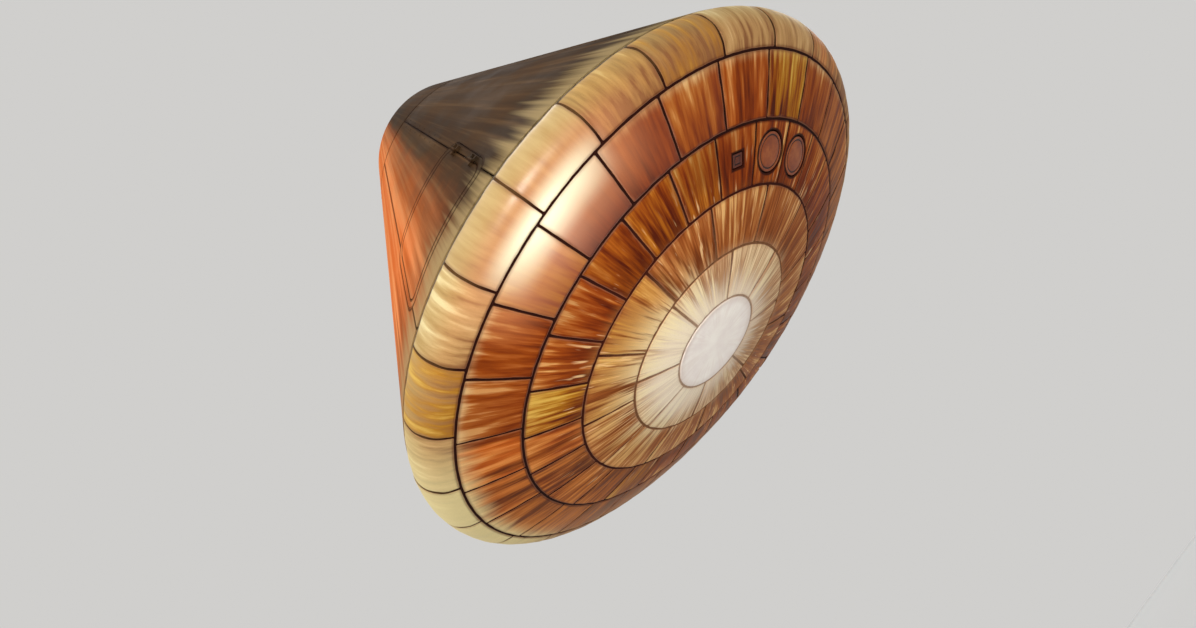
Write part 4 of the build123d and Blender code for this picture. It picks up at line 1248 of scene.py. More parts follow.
# ------------------------------------------------------------------ seats
HEAD, HIP, KNEE = Vector((-0.656, 1.190)), Vector((0.272, 1.342)), Vector((0.412, 1.800))
SEAT_X = (-0.960, -0.320, 0.320, 0.960)


def seat_frame(x, start, end, s):
    """Frame on a seat: x across, y along from start to end beginning at s, z out of the pad's seat plus its gap."""
    d = (end - start).normalized()
    ys, ns = Vector((0, d.x, d.y)), Vector((0, -d.y, d.x))
    m = Matrix((Vector((1, 0, 0)), ys, ns)).transposed().to_4x4()
    m.translation = Vector((x, start.x, start.y)) + ys * s + ns * 0.004
    return m


HEAD_L, BACK_L, LEG_L, PAD_W = 0.222, 0.606, 0.345, 0.460
head_c = cushion(HEAD_L, 0.40, 0.078, 0.0080, 0.022, (), (-0.09, 0.09), 0.006)
back_c = cushion(BACK_L, PAD_W, 0.078, 0.0085, 0.024, (0.11, 0.21, 0.31, 0.41, 0.51), (-0.155, 0.155))
leg_c = cushion(LEG_L, PAD_W, 0.066, 0.0085, 0.022, (0.115, 0.225), (-0.155, 0.155))
pads, legs, cords, straps, buckles = Form(), Form(), Form(), Form(), Form()
back_tree = surface(*back_c)
welts = [(0, welt(*head_c, HEAD_L, 0.40, 0.036, 0.0042)), (1, welt(*back_c, BACK_L, PAD_W, 0.036, 0.0048)), (2, welt(*leg_c, LEG_L, PAD_W, 0.030, 0.0045))]


def seam_lines(c, length, width, cross, along):
    tree, out = surface(*c), []
    for y in cross:
        out.append(lie_on(tree, [(x, y, 0) for x in np.linspace(-width / 2 + 0.03, width / 2 - 0.03, 34)], (0, 0, -1), 0.3, -0.0004))
    for x in along:
        out.append(lie_on(tree, [(x, y, 0) for y in np.linspace(0.03, length - 0.03, 40)], (0, 0, -1), 0.3, -0.0004))
    top = float(c[0][:, 2].max())
    return [tube([q for q in p if q.z > 0.55 * top], 0.0016, 5) for p in out]


seams = [(0, s) for s in seam_lines(head_c, HEAD_L, 0.40, (), (-0.09, 0.09))]
seams += [(1, s) for s in seam_lines(back_c, BACK_L, PAD_W, (0.11, 0.21, 0.31, 0.41, 0.51), (-0.155, 0.155))]
seams += [(2, s) for s in seam_lines(leg_c, LEG_L, PAD_W, (0.115, 0.225), (-0.155, 0.155))]


def belt(points, width=0.046):
    """Webbing that lies over the back cushion through these (x, s) points."""
    pts = [Vector((x, y, 0)) for x, y in points]
    path = []
    for a, b in zip(pts, pts[1:]):
        k = max(2, int((b - a).length / 0.016))
        path += [a.lerp(b, i / k) for i in range(k)]
    path.append(pts[-1])
    h = []
    for i, p in enumerate(path):
        t = (path[min(i + 1, len(path) - 1)] - path[max(i - 1, 0)]).normalized()
        side = Vector((-t.y, t.x, 0))
        hs = [lie_on(back_tree, [p + side * w], (0, 0, -1))[0].z for w in (-0.022, 0, 0.022)]
        h.append(max(hs))
    h = np.array(h)
    for _ in range(6):
        h = np.maximum(h, np.convolve(np.pad(h, 1, mode="edge"), [0.25, 0.5, 0.25], "valid"))
    path = [Vector((p.x, p.y, z + 0.0022)) for p, z in zip(path, h)]
    nrm, side = [], []
    for i, p in enumerate(path):
        t = (path[min(i + 1, len(path) - 1)] - path[max(i - 1, 0)]).normalized()
        sd = Vector((-t.y, t.x, 0)).normalized()
        side.append(sd)
        nrm.append(t.cross(sd) * (1 if t.cross(sd).z > 0 else -1))
    return ribbon(path, nrm, side, width, 0.0028), path


BELTS = [[(-0.115, 0.012), (-0.110, 0.20), (-0.085, 0.36), (-0.030, 0.468)], [(0.115, 0.012), (0.110, 0.20), (0.085, 0.36), (0.030, 0.468)],
         [(-0.205, 0.545), (-0.12, 0.53), (-0.028, 0.488)], [(0.205, 0.545), (0.12, 0.53), (0.028, 0.488)], [(0.0, 0.594), (0.0, 0.505)]]
belts = [belt(b) for b in BELTS]
hub_z = max(p[-1].z for _, p in belts) + 0.001
hub = lathe([(0.030, hub_z), (0.034, hub_z + 0.003), (0.035, hub_z + 0.012), (0.032, hub_z + 0.018), (0.022, hub_z + 0.021), (0.019, hub_z + 0.0185), (0.006, hub_z + 0.0185), (0.0, hub_z + 0.019)], 36)
adjusters = []
for (strip_v, path) in (belts[0], belts[1]):
    p = path[len(path) // 3]
    adjusters.append(box_form(p.x, p.y, p.z + 0.004, 0.058, 0.030, 0.007, 0.002))
for x in SEAT_X:
    frames3 = [seat_frame(x, HEAD, HIP, 0.022), seat_frame(x, HEAD, HIP, 0.252), seat_frame(x, HIP, KNEE, 0.110)]
    pads.add(head_c, frames3[0]).add(back_c, frames3[1])
    legs.add(leg_c, frames3[2])
    for i, part in welts:
        cords.add(part, frames3[i])
    for i, part in seams:
        cords.add(part, frames3[i])
    for part, path in belts:
        straps.add(part, frames3[1])
    buckles.add(hub, frames3[1])
    for part in adjusters:
        buckles.add(part, frames3[1])
o = pads.piece("seat_cushions", PAD_M, "crew_module", "seat_fabric", "seat_pads", 60)
o = legs.piece("leg_cushions", PAD_M, "crew_module", "seat_fabric", "leg_pads", 60)
cords.piece("cushion_piping", WELT_M, "crew_module", "seat_fabric")
straps.piece("harness_webbing", WEB_M, "crew_module", "seat_fabric", None, 60)
buckles.piece("harness_buckles", ALU, "crew_module", "handle_metal")

# ------------------------------------------------------------------ packed parachutes, mortars and docking details
SECTION = [(0.452, 3.302), (0.790, 3.302), (0.655, 3.555), (0.452, 3.555)]


def pack_start():
    """Sector of fabric between the tunnel and the cover, a little smaller than its space, round the direction +X."""
    rows, half = [], math.radians(40)
    d = 0.013

    def cut(g):
        (r0, z0), (r1, _), (r2, z1), _ = SECTION
        slope = (r1 - r2) / (z1 - z0)
        g2 = g + d
        return [(r0 + g2, z0 + g2), (r1 - g2 * 1.15 - slope * g2, z0 + g2), (r2 - g2 * 1.15 + slope * g2, z1 - g2), (r0 + g2, z1 - g2)]
    e, k = 0.030, 4
    for i in range(k + 1):
        t = math.pi / 2 * i / k
        rows.append((rounded(cut(e * (1 - math.sin(t))), 0.035, 4, 4), -half + 0.030 + e * (1 - math.cos(t)) / 0.6))
    for i in range(1, 14):
        rows.append((rounded(cut(0), 0.035, 4, 4), (-half + 0.030 + e / 0.6) * (1 - 2 * i / 14)))
    for i in range(k, -1, -1):
        t = math.pi / 2 * i / k
        rows.append((rounded(cut(e * (1 - math.sin(t))), 0.035, 4, 4), half - 0.030 - e * (1 - math.cos(t)) / 0.6))
    return stack(rows, lambda r, z, a: Vector((r * math.cos(a), r * math.sin(a), z)))


pv, pf = stuffed(*pack_start(), 0.011, 0.021)
pr = np.hypot(pv[:, 0], pv[:, 1])
pa = np.arctan2(pv[:, 1], pv[:, 0])
# webbing ties pull the bag in
TIES = [math.radians(a) for a in (-27, -9, 9, 27)]
pull = np.zeros(len(pv))
for a in TIES:
    pull = np.maximum(pull, np.exp(-(((pa - a) * pr) / 0.028) ** 4))
cz = 3.42
cr = 0.60
wr, wz = pr - cr, pv[:, 2] - cz
k = 1 - 0.055 * pull
fold = 0.0022 * np.sin(pa * 70 + 6 * np.sin(wz * 14)) + 0.0016 * np.sin(pa * 123 + wz * 31)
length = np.hypot(wr, wz) + 1e-6
fold *= 1 - pull
nr_, nz_ = cr + wr * k + wr / length * fold, cz + wz * k + wz / length * fold
nz_ = np.maximum(nz_, 3.2945)
nr_ = np.maximum(nr_, 0.4365)
limit = 0.790 - (nz_ - 3.302) * (0.135 / 0.253) + 0.012
nr_ = np.minimum(nr_, limit)
pv = np.stack([nr_ * np.cos(pa), nr_ * np.sin(pa), nz_], axis=1)
pack_tree = surface(pv, pf)
pack, ties, rings = Form(), Form(), Form()
tie_parts, ring_parts = [], []
for a in TIES:
    rad, rnd = Vector((math.cos(a), math.sin(a), 0)), Vector((-math.sin(a), math.cos(a), 0))
    c = rad * cr + Vector((0, 0, cz))
    reach_, nrm = [], []
    for i in range(61):
        t = math.radians(-38 + 212 * i / 60)
        d = rad * math.cos(t) + Vector((0, 0, math.sin(t)))
        hits = [pack_tree.ray_cast(c + rnd * w + d * 0.5, -d, 0.6)[0] for w in (-0.019, -0.0095, 0.0, 0.0095, 0.019)]
        reach_.append(max((h - c).dot(d) for h in hits if h is not None))
        nrm.append(d)
    reach_ = np.array(reach_)
    for _ in range(5):
        reach_ = np.maximum(reach_, np.convolve(np.pad(reach_, 1, mode="edge"), [0.25, 0.5, 0.25], "valid"))
    pts = [c + d * (h + 0.0024) for d, h in zip(nrm, reach_)]
    tie_parts.append(ribbon(pts, nrm, [rnd] * len(pts), 0.036, 0.003))
    p, d = pts[36], nrm[36]
    b = Matrix((rnd, d.cross(rnd), d)).transposed().to_4x4()
    b.translation = p
    v, f = stack(ring_rows(rounded_rect(0.027, 0.019, 0.006, 4, 1), 0.007, 0.0005, 0.0055, 0.0015, 2), closed=True)
    ring_parts.append(([b @ q for q in v], f))
for az in (30, 150, 270):
    m = Matrix.Rotation(math.radians(az), 4, "Z")
    pack.add((pv, pf), m)
    for part in tie_parts:
        ties.add(part, m)
    for part in ring_parts:
        rings.add(part, m)
o = pack.piece("parachute_bags", CHUTE_M, "crew_module", "parachute_fabric", "parachute_packs", 60)
ties.piece("parachute_ties", WEB_M, "crew_module", "parachute_fabric", None, 60)
rings.piece("tie_buckles", ALU, "crew_module", "docking_metal")

mort = Form()
for az in (90, 210, 330):
    m = Matrix.Translation((0.560 * math.cos(math.radians(az)), 0.560 * math.sin(math.radians(az)), 0))
    mort.add(lathe([(0.070, 3.290), (0.078, 3.292), (0.078, 3.306), (0.0735, 3.310), (0.0735, 3.500), (0.0765, 3.512), (0.0765, 3.519), (0.083, 3.520), (0.086, 3.523), (0.086, 3.541), (0.083, 3.544),
                    (0.0775, 3.545), (0.0775, 3.562), (0.0755, 3.5665), (0.070, 3.569), (0.066, 3.5685), (0.064, 3.566), (0.040, 3.5665), (0.036, 3.5705), (0.018, 3.572), (0.0, 3.572)], 48), m)
    for k in range(10):
        a = 2 * math.pi * (k + 0.5) / 10
        mort.add(bolt(0.0042, 0.0035, 0.003, 8), m @ Matrix.Translation((0.0815 * math.cos(a), 0.0815 * math.sin(a), 3.544)))
    for k in range(6):
        a = 2 * math.pi * k / 6
        v, f = box_form(0, 0, 0.05, 0.006, 0.020, 0.085, 0.002)
        mort.add((v, f), m @ Matrix.Rotation(a, 4, "Z") @ Matrix.Translation((0.0760, 0, 3.310)))
mort.piece("mortar_tubes", MORTAR_M, "crew_module", "mortar_metal", "drogue_mortars")

dock = Form()
dock.add(stack([(circle(r, 144), z) for r, z in ((0.4205, 3.7745), (0.4205, 3.7830), (0.4235, 3.7865), (0.4280, 3.7865), (0.4310, 3.7830), (0.4310, 3.7745))], closed=True))
dock.add(stack([(circle(r, 144), z) for r, z in ((0.4375, 3.7745), (0.4375, 3.7820), (0.4395, 3.7845), (0.4425, 3.7845), (0.4445, 3.7820), (0.4445, 3.7745))], closed=True))
dock.piece("docking_seals", SEAL, "crew_module", "seal")
rim = Form()
for k in range(36):
    a = 2 * math.pi * (k + 0.5) / 36
    rim.add(bolt(0.0065, 0.005), Matrix.Translation((0.777 * math.cos(a), 0.777 * math.sin(a), 3.290)))
for k in range(24):
    a = 2 * math.pi * (k + 0.5) / 24
    rim.add(bolt(0.0045, 0.0035), Matrix.Translation((0.4085 * math.cos(a), 0.4085 * math.sin(a), 3.780)))
rim.add(stack([(circle(r, 144), z) for r, z in ((0.4305, 3.600), (0.4385, 3.602), (0.4400, 3.606), (0.4400, 3.620), (0.4385, 3.624), (0.4305, 3.626))], closed=True))
rim.add(stack([(circle(r, 144), z) for r, z in ((0.4305, 3.700), (0.4440, 3.702), (0.4460, 3.706), (0.4460, 3.716), (0.4440, 3.720), (0.4305, 3.722))], closed=True))
rim.piece("bay_fasteners", ALU, "crew_module", "docking_metal")

# ------------------------------------------------------------------ forward cover: rounded lip, ribs inside
Z_COVER, COVER_T = 3.333, 0.060
S_COVER = s_of_z(Z_COVER)


def cover_line(depth, n0=10, n1=16, n2=14):
    """The cover's outline (r, z) this far under its face, from its lower edge to the axis."""
    def wall(s, d):
        return R0 - s * SA - d * CA, Z0 + s * CA - d * SA
    edge_r, crown_r, straight = 0.703, 2.005, 0.441
    out = [wall(S_COVER + 0.004 + (straight - 0.004) * i / n0, depth) for i in range(n0)]
    cx, cz_ = wall(S_COVER + straight, edge_r)
    phi = math.asin(cx / (crown_r - edge_r))
    top = cz_ - (crown_r - edge_r) * math.cos(phi)
    b0, b1 = HALF, math.pi / 2 - phi
    out += [(cx + (edge_r - depth) * math.cos(b0 + (b1 - b0) * i / n1), cz_ + (edge_r - depth) * math.sin(b0 + (b1 - b0) * i / n1)) for i in range(n1)]
    out += [((crown_r - depth) * math.sin(phi * (1 - i / n2)), top + (crown_r - depth) * math.cos(phi * (1 - i / n2))) for i in range(n2)]
    return out + [(0.001, top + crown_r - depth)]


outer, inner = cover_line(0.0), cover_line(COVER_T)
r0_, z0_ = outer[0]
ux, uz = SA, -CA                      # down the wall
lip = [(inner[0][0] + 0.006 * (-ux) + 0.0, inner[0][1] - 0.006 * uz), (inner[0][0] + 0.004 * CA, inner[0][1] + 0.004 * SA)]
outer = [(r0_ - 0.004 * CA, z0_ - 0.004 * SA), (r0_ - 0.0012 * CA - 0.0012 * SA, z0_ - 0.0012 * SA + 0.0012 * CA), (r0_ - 0.004 * SA, z0_ + 0.004 * CA)] + outer[1:]
rows = inner[::-1][:-1] + lip + outer
n = 160
v, f = stack([(circle(r, n), z) for r, z in rows])
ins = [1.0 if i < len(inner) + 1 else 0.0 for i in range(len(rows)) for _ in range(n)] + [1.0, 0.0]
cov = Form().add((v, f), inside=ins)
cov.piece("forward_cover_skin", COVER, "forward_cover", "cover_skin", "forward_cover", 30)
ribs = Form()
for k in range(9):
    a = 2 * math.pi * (k + 0.5) / 9
    ca, sa = math.cos(a), math.sin(a)
    path, nrm = [], []
    line = cover_line(COVER_T + 0.0055)
    for i, (r, z) in enumerate(line[1:-2]):
        p, q = line[i], line[i + 2]
        t = Vector(((q[0] - p[0]), q[1] - p[1])).normalized()
        path.append((r * ca, r * sa, z))
        nrm.append(Vector((-t.y * ca, -t.y * sa, t.x)))
    ribs.add(ribbon(path, nrm, [Vector((-sa, ca, 0))] * len(path), 0.030, 0.013))
for i0, w in ((2, 0.022), (9, 0.022)):
    r, z = cover_line(COVER_T + 0.005)[i0]
    sec = [(-0.5, -0.5), (0.5, -0.5), (0.5, 0.35), (0.35, 0.5), (-0.35, 0.5), (-0.5, 0.35)]
    ribs.add(stack([(circle(r - SA * u * w - CA * h * 0.011, 144), z + CA * u * w - SA * h * 0.011) for u, h in sec], closed=True))
ribs.piece("cover_ribs", STRUCT, "forward_cover", "inner_structure", None, 30)

# ------------------------------------------------------------------ side wall: fasteners, windows, thrusters
SECTOR, PANEL_STEP, PANEL_0 = 13.75, (360 - 27.5) / 8, -90 + 13.75
WINDOW_AZ = [PANEL_0 + (i + 0.5) * PANEL_STEP for i in (2, 3, 4, 5)]
THRUSTER_AZ = [PANEL_0 + (i + 0.5) * PANEL_STEP + d for i in (1, 2, 5, 6) for d in (-7, 7)]
studs = Form()
stud = lathe([(0.0085, -0.004), (0.0085, 0.0004), (0.0075, 0.0010), (0.0045, 0.0012), (0.004, 0.0004), (0.0, 0.0004)], 12)
for i in range(9):
    az = PANEL_0 + i * PANEL_STEP
    for side in (-1, 1):
        for k in range(15):
            s = 0.10 + k * 0.19
            if s > S_COVER - 0.06:
                continue
            if i in (0, 8) and 1.0 < Z0 + s * CA < 2.08:
                continue
            r = R0 - s * SA
            studs.add(stud, wall_frame(az + side * math.degrees(0.034 / r), Z0 + s * CA))
for k in range(72):
    studs.add(stud, wall_frame(k * 5 + 2.5, Z0 + 0.062 * CA))
for k in range(36):
    studs.add(stud, wall_frame(k * 10 + 5, Z0 + (S_COVER - 0.038) * CA))
studs.piece("wall_fasteners", STUD_M, "crew_module", "backshell")
studs = Form()
for k in range(36):
    studs.add(stud, wall_frame(k * 10 + 5, Z0 + (S_COVER + 0.045) * CA))
studs.piece("cover_fasteners", STUD_M, "forward_cover", "cover_skin")

frames, bolts, seals = Form(), Form(), Form()
fn = rounded_rect(0.213, 0.233, 0.118, 10, 6)
ROWS = [(0, -0.118), (0, -0.0215), (0.0008, -0.0190), (0.0025, -0.0172), (0.0050, -0.0162), (0.0080, -0.0160), (0.0190, -0.0160), (0.0202, -0.0164), (0.0208, -0.0200), (0.0225, -0.0206), (0.0240, -0.0200), (0.0246, -0.0166),
        (0.0262, -0.0160), (0.0300, -0.0161), (0.0325, -0.0174), (0.0342, -0.0200), (0.0352, -0.0245), (0.0357, -0.0400), (0.0357, -0.118)]
seal_rows = [(0.0350, -0.0412), (0.0350, -0.0372), (0.0365, -0.0352), (0.0400, -0.0350), (0.0425, -0.0365), (0.0430, -0.0412)]
for az in WINDOW_AZ:
    m = wall_frame(az, 1.990)
    frames.add(stack([(fn(g), z) for g, z in ROWS], closed=True), m)
    seals.add(stack([(fn(g), z) for g, z in seal_rows], closed=True), m)
    seals.add(stack([(fn(g), z) for g, z in [(0.0350, -0.0668), (0.0350, -0.0715), (0.0370, -0.0735), (0.0420, -0.0735), (0.0435, -0.0710), (0.0435, -0.0668)]], closed=True), m)
    ring = fn(0.0135)
    total = len(ring)
    length = [0.0]
    for k in range(total):
        length.append(length[-1] + math.dist(ring[k], ring[(k + 1) % total]))
    for k in range(22):
        t = length[-1] * k / 22
        j = max(i for i in range(total) if length[i] <= t)
        u = (t - length[j]) / (length[j + 1] - length[j])
        p, q = ring[j], ring[(j + 1) % total]
        bolts.add(bolt(0.0052, 0.0032, 0.003, 10), m @ Matrix.Translation((p[0] + (q[0] - p[0]) * u, p[1] + (q[1] - p[1]) * u, -0.0160)))
frames.piece("window_rims", TINTED, "crew_module", "window_frame", "window_frames", 42)
bolts.piece("window_bolts", TINTED, "crew_module", "window_frame")
seals.piece("window_seals", SEAL, "crew_module", "seal", None, 42)

bells, collars = Form(), Form()
BELL = [(0.0, -0.074), (0.031, -0.074), (0.0335, -0.0725), (0.034, -0.070), (0.034, -0.062), (0.0375, -0.0555), (0.046, -0.0435), (0.056, -0.0300), (0.0655, -0.0180), (0.0725, -0.0095), (0.0755, -0.0075), (0.0775, -0.0045), (0.0780, -0.0015), (0.0765, 0.0),
        (0.0725, -0.0002), (0.0700, -0.0015), (0.0680, -0.0040), (0.0620, -0.0115), (0.0530, -0.0220), (0.0430, -0.0335), (0.0340, -0.0435), (0.0275, -0.0510), (0.0250, -0.0530), (0.0200, -0.0545), (0.0195, -0.0600), (0.0, -0.0600)]
for az in THRUSTER_AZ:
    m = wall_frame(az, 1.150) @ Matrix.Translation((0, 0, -0.008))
    depth = [min(1.0, max(0.0, -z / 0.05)) if i > 13 else 0.0 for i, (r, z) in enumerate(BELL) for _ in range(56)] + [0.0, 1.0]
    bells.add(lathe(BELL, 56), m, inside=depth)
    collars.add(lathe([(0.0955, -0.072), (0.0955, -0.040), (0.0935, -0.0365), (0.0890, -0.0350), (0.0830, -0.0365), (0.0700, -0.0400), (0.0600, -0.0410), (0.0560, -0.0425), (0.0560, -0.072)], 56, closed=True), m)
    for k in range(8):
        a = 2 * math.pi * (k + 0.5) / 8
        collars.add(bolt(0.0042, 0.003, 0.003, 8), m @ Matrix.Translation((0.0885 * math.cos(a), 0.0885 * math.sin(a), -0.0352)))
bells.piece("thruster_bells", BELL_M, "crew_module", "nozzle_metal", "thruster_nozzles", 35)
collars.piece("thruster_collars", CHAR, "crew_module", "carrier", None, 35)
lips = Form()
for az in THRUSTER_AZ:
    place = on_cone(az, 1.150)
    lips.add(stack([(circle(r, 72), h) for r, h in ((0.0970, -0.006), (0.0970, 0.0008), (0.0985, 0.0024), (0.1040, 0.0030), (0.1085, 0.0022), (0.1100, 0.0004), (0.1100, -0.006))], place, closed=True))
lips.piece("thruster_rims", FRAME_M, "crew_module", "backshell", None, 35)

# ------------------------------------------------------------------ hatch: inner structure, latches, seal
HATCH_ZM = 1.543
HWB, HWT, HH = 0.549, 0.438, 0.427


def hatch_outline(g, arc=8, edge=8):
    """The hatch's outline drawn in by g, on its tangent plane."""
    return rounded([(-HWB + g, -HH + g), (HWB - g, -HH + g), (HWT - g, HH - g), (-HWT + g, HH - g)], max(0.02, 0.110 - g), arc, edge)


place = on_cone(-90, HATCH_ZM)
pan = Form()
pan.add(stack(ring_rows(lambda g: hatch_outline(0.046 + g), 0.060, -0.130, -0.108, 0.006), place, closed=True))
pan.add(stack(edged(lambda g: hatch_outline(0.095 + g), -0.116, -0.106, 0.003), place))


def hatch_bar(x0, y0, x1, y1, w, top, e=0.005):
    """Raised bar on the hatch's inner face."""
    a, b = Vector((x0, y0)), Vector((x1, y1))
    t = (b - a).normalized()
    s = Vector((-t.y, t.x))
    steps = 10

    def outline(g):
        hw = w / 2 - g
        p0, p1 = a + t * g, b - t * g
        left = [p0.lerp(p1, k / steps) + s * hw for k in range(steps, -1, -1)]
        right = [p0.lerp(p1, k / steps) - s * hw for k in range(steps + 1)]
        return [tuple(p) for p in right + left]
    return stack(edged(outline, -top, -0.106, e, 2), place)


for y in (-0.215, 0.215):
    wx = HWB + (HWT - HWB) * (y + HH) / (2 * HH) - 0.10
    pan.add(hatch_bar(-wx, y, wx, y, 0.046, 0.132))
for x in (-0.255, 0.255):
    pan.add(hatch_bar(x, -0.33, x, 0.33, 0.040, 0.128))
pan.piece("hatch_inner_frame", STRUCT, "side_hatch", "inner_structure", None, 35)

gear, rods = Form(), Form()
ring = hatch_outline(0.030, 8, 12)
total = len(ring)
length = [0.0]
for k in range(total):
    length.append(length[-1] + math.dist(ring[k], ring[(k + 1) % total]))
for k in range(14):
    t = length[-1] * (k + 0.5) / 14
    j = max(i for i in range(total) if length[i] <= t)
    u = (t - length[j]) / (length[j + 1] - length[j])
    p = Vector(ring[j]).lerp(Vector(ring[(j + 1) % total]), u)
    d = (Vector(ring[(j + 1) % total]) - Vector(ring[j])).normalized()
    inw = Vector((-d.y, d.x))
    o3 = place(p.x, p.y, -0.110)
    ex = (place(p.x + d.x * 0.01, p.y + d.y * 0.01, -0.110) - o3).normalized()
    ey = (place(p.x + inw.x * 0.01, p.y + inw.y * 0.01, -0.110) - o3).normalized()
    m = Matrix((ex, ey, ex.cross(ey))).transposed().to_4x4()
    m.translation = o3
    up = -1 if (ex.cross(ey)).dot(Vector((0, -1, 0))) > 0 else 1
    gear.add(box_form(0, 0.016, up * 0.012, 0.052, 0.044, 0.024, 0.004), m)
    gear.add(lathe([(0.0, up * 0.018), (0.0135, up * 0.018), (0.0150, up * 0.020), (0.0150, up * 0.031), (0.0130, up * 0.033), (0.0, up * 0.033)], 20), m @ Matrix.Translation((0, 0.002, 0)))
    gear.add(bolt(0.0045, 0.003, 0.002, 8) if up > 0 else lathe([(0.0045, 0.002), (0.0045, -0.003), (0.0, -0.0035)], 8), m @ Matrix.Translation((0.015, 0.026, up * 0.024)))
    gear.add(bolt(0.0045, 0.003, 0.002, 8) if up > 0 else lathe([(0.0045, 0.002), (0.0045, -0.003), (0.0, -0.0035)], 8), m @ Matrix.Translation((-0.015, 0.026, up * 0.024)))
ring = hatch_outline(0.066, 8, 8)
rods.add(tube([place(x, y, -0.138) for x, y in ring], 0.0065, 8, closed=True))
for x0, y0, x1, y1 in ((0, 0.07, 0, 0.355), (0, -0.07, 0, -0.355), (0.066, 0.045, 0.42, 0.045), (-0.066, 0.045, -0.42, 0.045)):
    rods.add(tube([place(x0 + (x1 - x0) * k / 8, y0 + (y1 - y0) * k / 8, -0.141) for k in range(9)], 0.0065, 8))
m = wall_frame(-90, HATCH_ZM)
gear.add(lathe([(0.0, -0.106), (0.082, -0.106), (0.082, -0.128), (0.078, -0.134), (0.070, -0.137), (0.058, -0.138), (0.054, -0.150), (0.048, -0.153), (0.0, -0.153)], 48), m)
for k in range(8):
    a = 2 * math.pi * k / 8
    gear.add(lathe([(0.0045, -0.132), (0.0045, -0.1395), (0.0, -0.1400)], 8), m @ Matrix.Translation((0.069 * math.cos(a), 0.069 * math.sin(a), 0)))
gear.piece("hatch_latches", ALU, "side_hatch", "handle_metal", None, 35)
rods.piece("hatch_linkage", ALU, "side_hatch", "handle_metal", None, 40)

lip_f = Form()
lip_f.add(stack([(hatch_outline(-0.007 - g, 8, 8), -d) for g, d in ((0.018, 0.108), (0.016, 0.114), (0.020, 0.119), (0.027, 0.119), (0.031, 0.114), (0.029, 0.108))], place, closed=True))
lip_f.piece("hatch_seal", SEAL, "crew_module", "seal", None, 50)

# seals between the side wall's panels and round the hatch frame, 70 mm under the skin
fills = Form()
for k in range(9):
    az = math.radians(-76.25 + 41.5625 * k)
    runs = [(0.905, 3.290)] if 0 < k < 8 else [(0.905, 1.052), (1.975, 3.290)]
    for z0, z1 in runs:
        v, f = [], []
        for i in range(25):
            s = s_of_z(z0 + (z1 - z0) * i / 24)
            for side, depth in ((-1, 0.070), (1, 0.070), (1, 0.079), (-1, 0.079)):
                r = R0 - s * SA - depth * CA
                v.append(wall_at(az + side * (math.radians(0.12) + 0.0012 / r), s, depth))
        for i in range(24):
            for q in range(4):
                l = (q + 1) % 4
                f.append((i * 4 + q, i * 4 + l, i * 4 + 4 + l, i * 4 + 4 + q))
        f += [(0, 1, 2, 3), (99, 98, 97, 96)]
        fills.add((v, f))


def frame_gap(g, under):
    """Ring round the hatch frame's outside, this far under the wall's curved face."""
    out = []
    for k, (x, y) in enumerate(hatch_outline(-g, 8, 8)):
        for _ in range(3):
            h = -x * x * CA / 2 / (R0 - (s_of_z(HATCH_ZM) + y) * SA) - under
            x, y = hatch_outline(-(g + 0.1228 * (h + 0.062)), 8, 8)[k]
        out.append(wall_frame(-90, HATCH_ZM) @ Vector((x, y, h)))
    return out


# one ring outside the frame, and a flat lip that closes the gap round the hatch from inside
for section in (((0.0640, 0.070), (0.0710, 0.070), (0.0710, 0.079), (0.0640, 0.079)), ((0.0, 0.1190), (0.016, 0.1098), (0.016, 0.1230), (0.0, 0.1230))):
    v, f = [], []
    for g, under in section:
        v += frame_gap(g, under)
    n = len(v) // 4
    for i in range(4):
        j = (i + 1) % 4
        f += [(i * n + k, i * n + (k + 1) % n, j * n + (k + 1) % n, j * n + k) for k in range(n)]
    fills.add((v, f))
fills.piece("wall_seals", SEAL, "crew_module", "seal", None, 30)

# ------------------------------------------------------------------ console and lockers
con, glass, keys = Form(), Form(), Form()
c0, c1 = Vector((0, -0.760, 2.180)), Vector((0, -0.180, 2.300))
dy = (c1 - c0).normalized()
down = Vector((0, dy.z, -dy.y))
base = Matrix((Vector((-1, 0, 0)), dy, down)).transposed().to_4x4()
base.translation = c0.lerp(c1, 0.5)
con.add(stack(edged(rounded_rect(0.700, 0.272, 0.03, 5, 4), -0.001, 0.006, 0.003, 2)), base)
for x in (-0.445, 0.0, 0.445):
    con.add(stack(ring_rows(rounded_rect(0.205, 0.150, 0.018, 5, 2), 0.022, 0.004, 0.016, 0.004, 3), closed=True), base @ Matrix.Translation((x, 0.085, 0)))
    glass.add(stack(edged(rounded_rect(0.186, 0.131, 0.004, 3, 2), 0.0055, 0.0095, 0.001, 2)), base @ Matrix.Translation((x, 0.085, 0)))
    for side in (-1, 1):
        for k in range(7):
            keys.add(box_form(x + side * 0.194, 0.085 - 0.105 + k * 0.035, 0.0175, 0.011, 0.018, 0.005, 0.001), base)
for j in range(3):
    for k in range(26):
        x, y = -0.625 + k * 0.05, -0.115 - j * 0.048
        if (k + j) % 9 == 4:
            continue
        if (k // 4 + j) % 3 == 0:
            keys.add(lathe([(0.0095, 0.005), (0.0095, 0.009), (0.0060, 0.0100), (0.0042, 0.0105), (0.0034, 0.022), (0.0030, 0.0245), (0.0, 0.0255)], 12), base @ Matrix.Translation((x, y, 0)) @ Matrix.Rotation(0.3 * (1 if (k * 7 + j) % 2 else -1), 4, "X"))
        else:
            keys.add(box_form(x, y, 0.010, 0.028, 0.024, 0.011, 0.002), base)
con.piece("console_bezels", CONSOLE_M, "crew_module", "console_plastic", None, 35)
glass.piece("console_screens", SCREEN_M, "crew_module", "window_glass", None, 35)
keys.piece("console_switches", KEY_M, "crew_module", "console_plastic", None, 35)

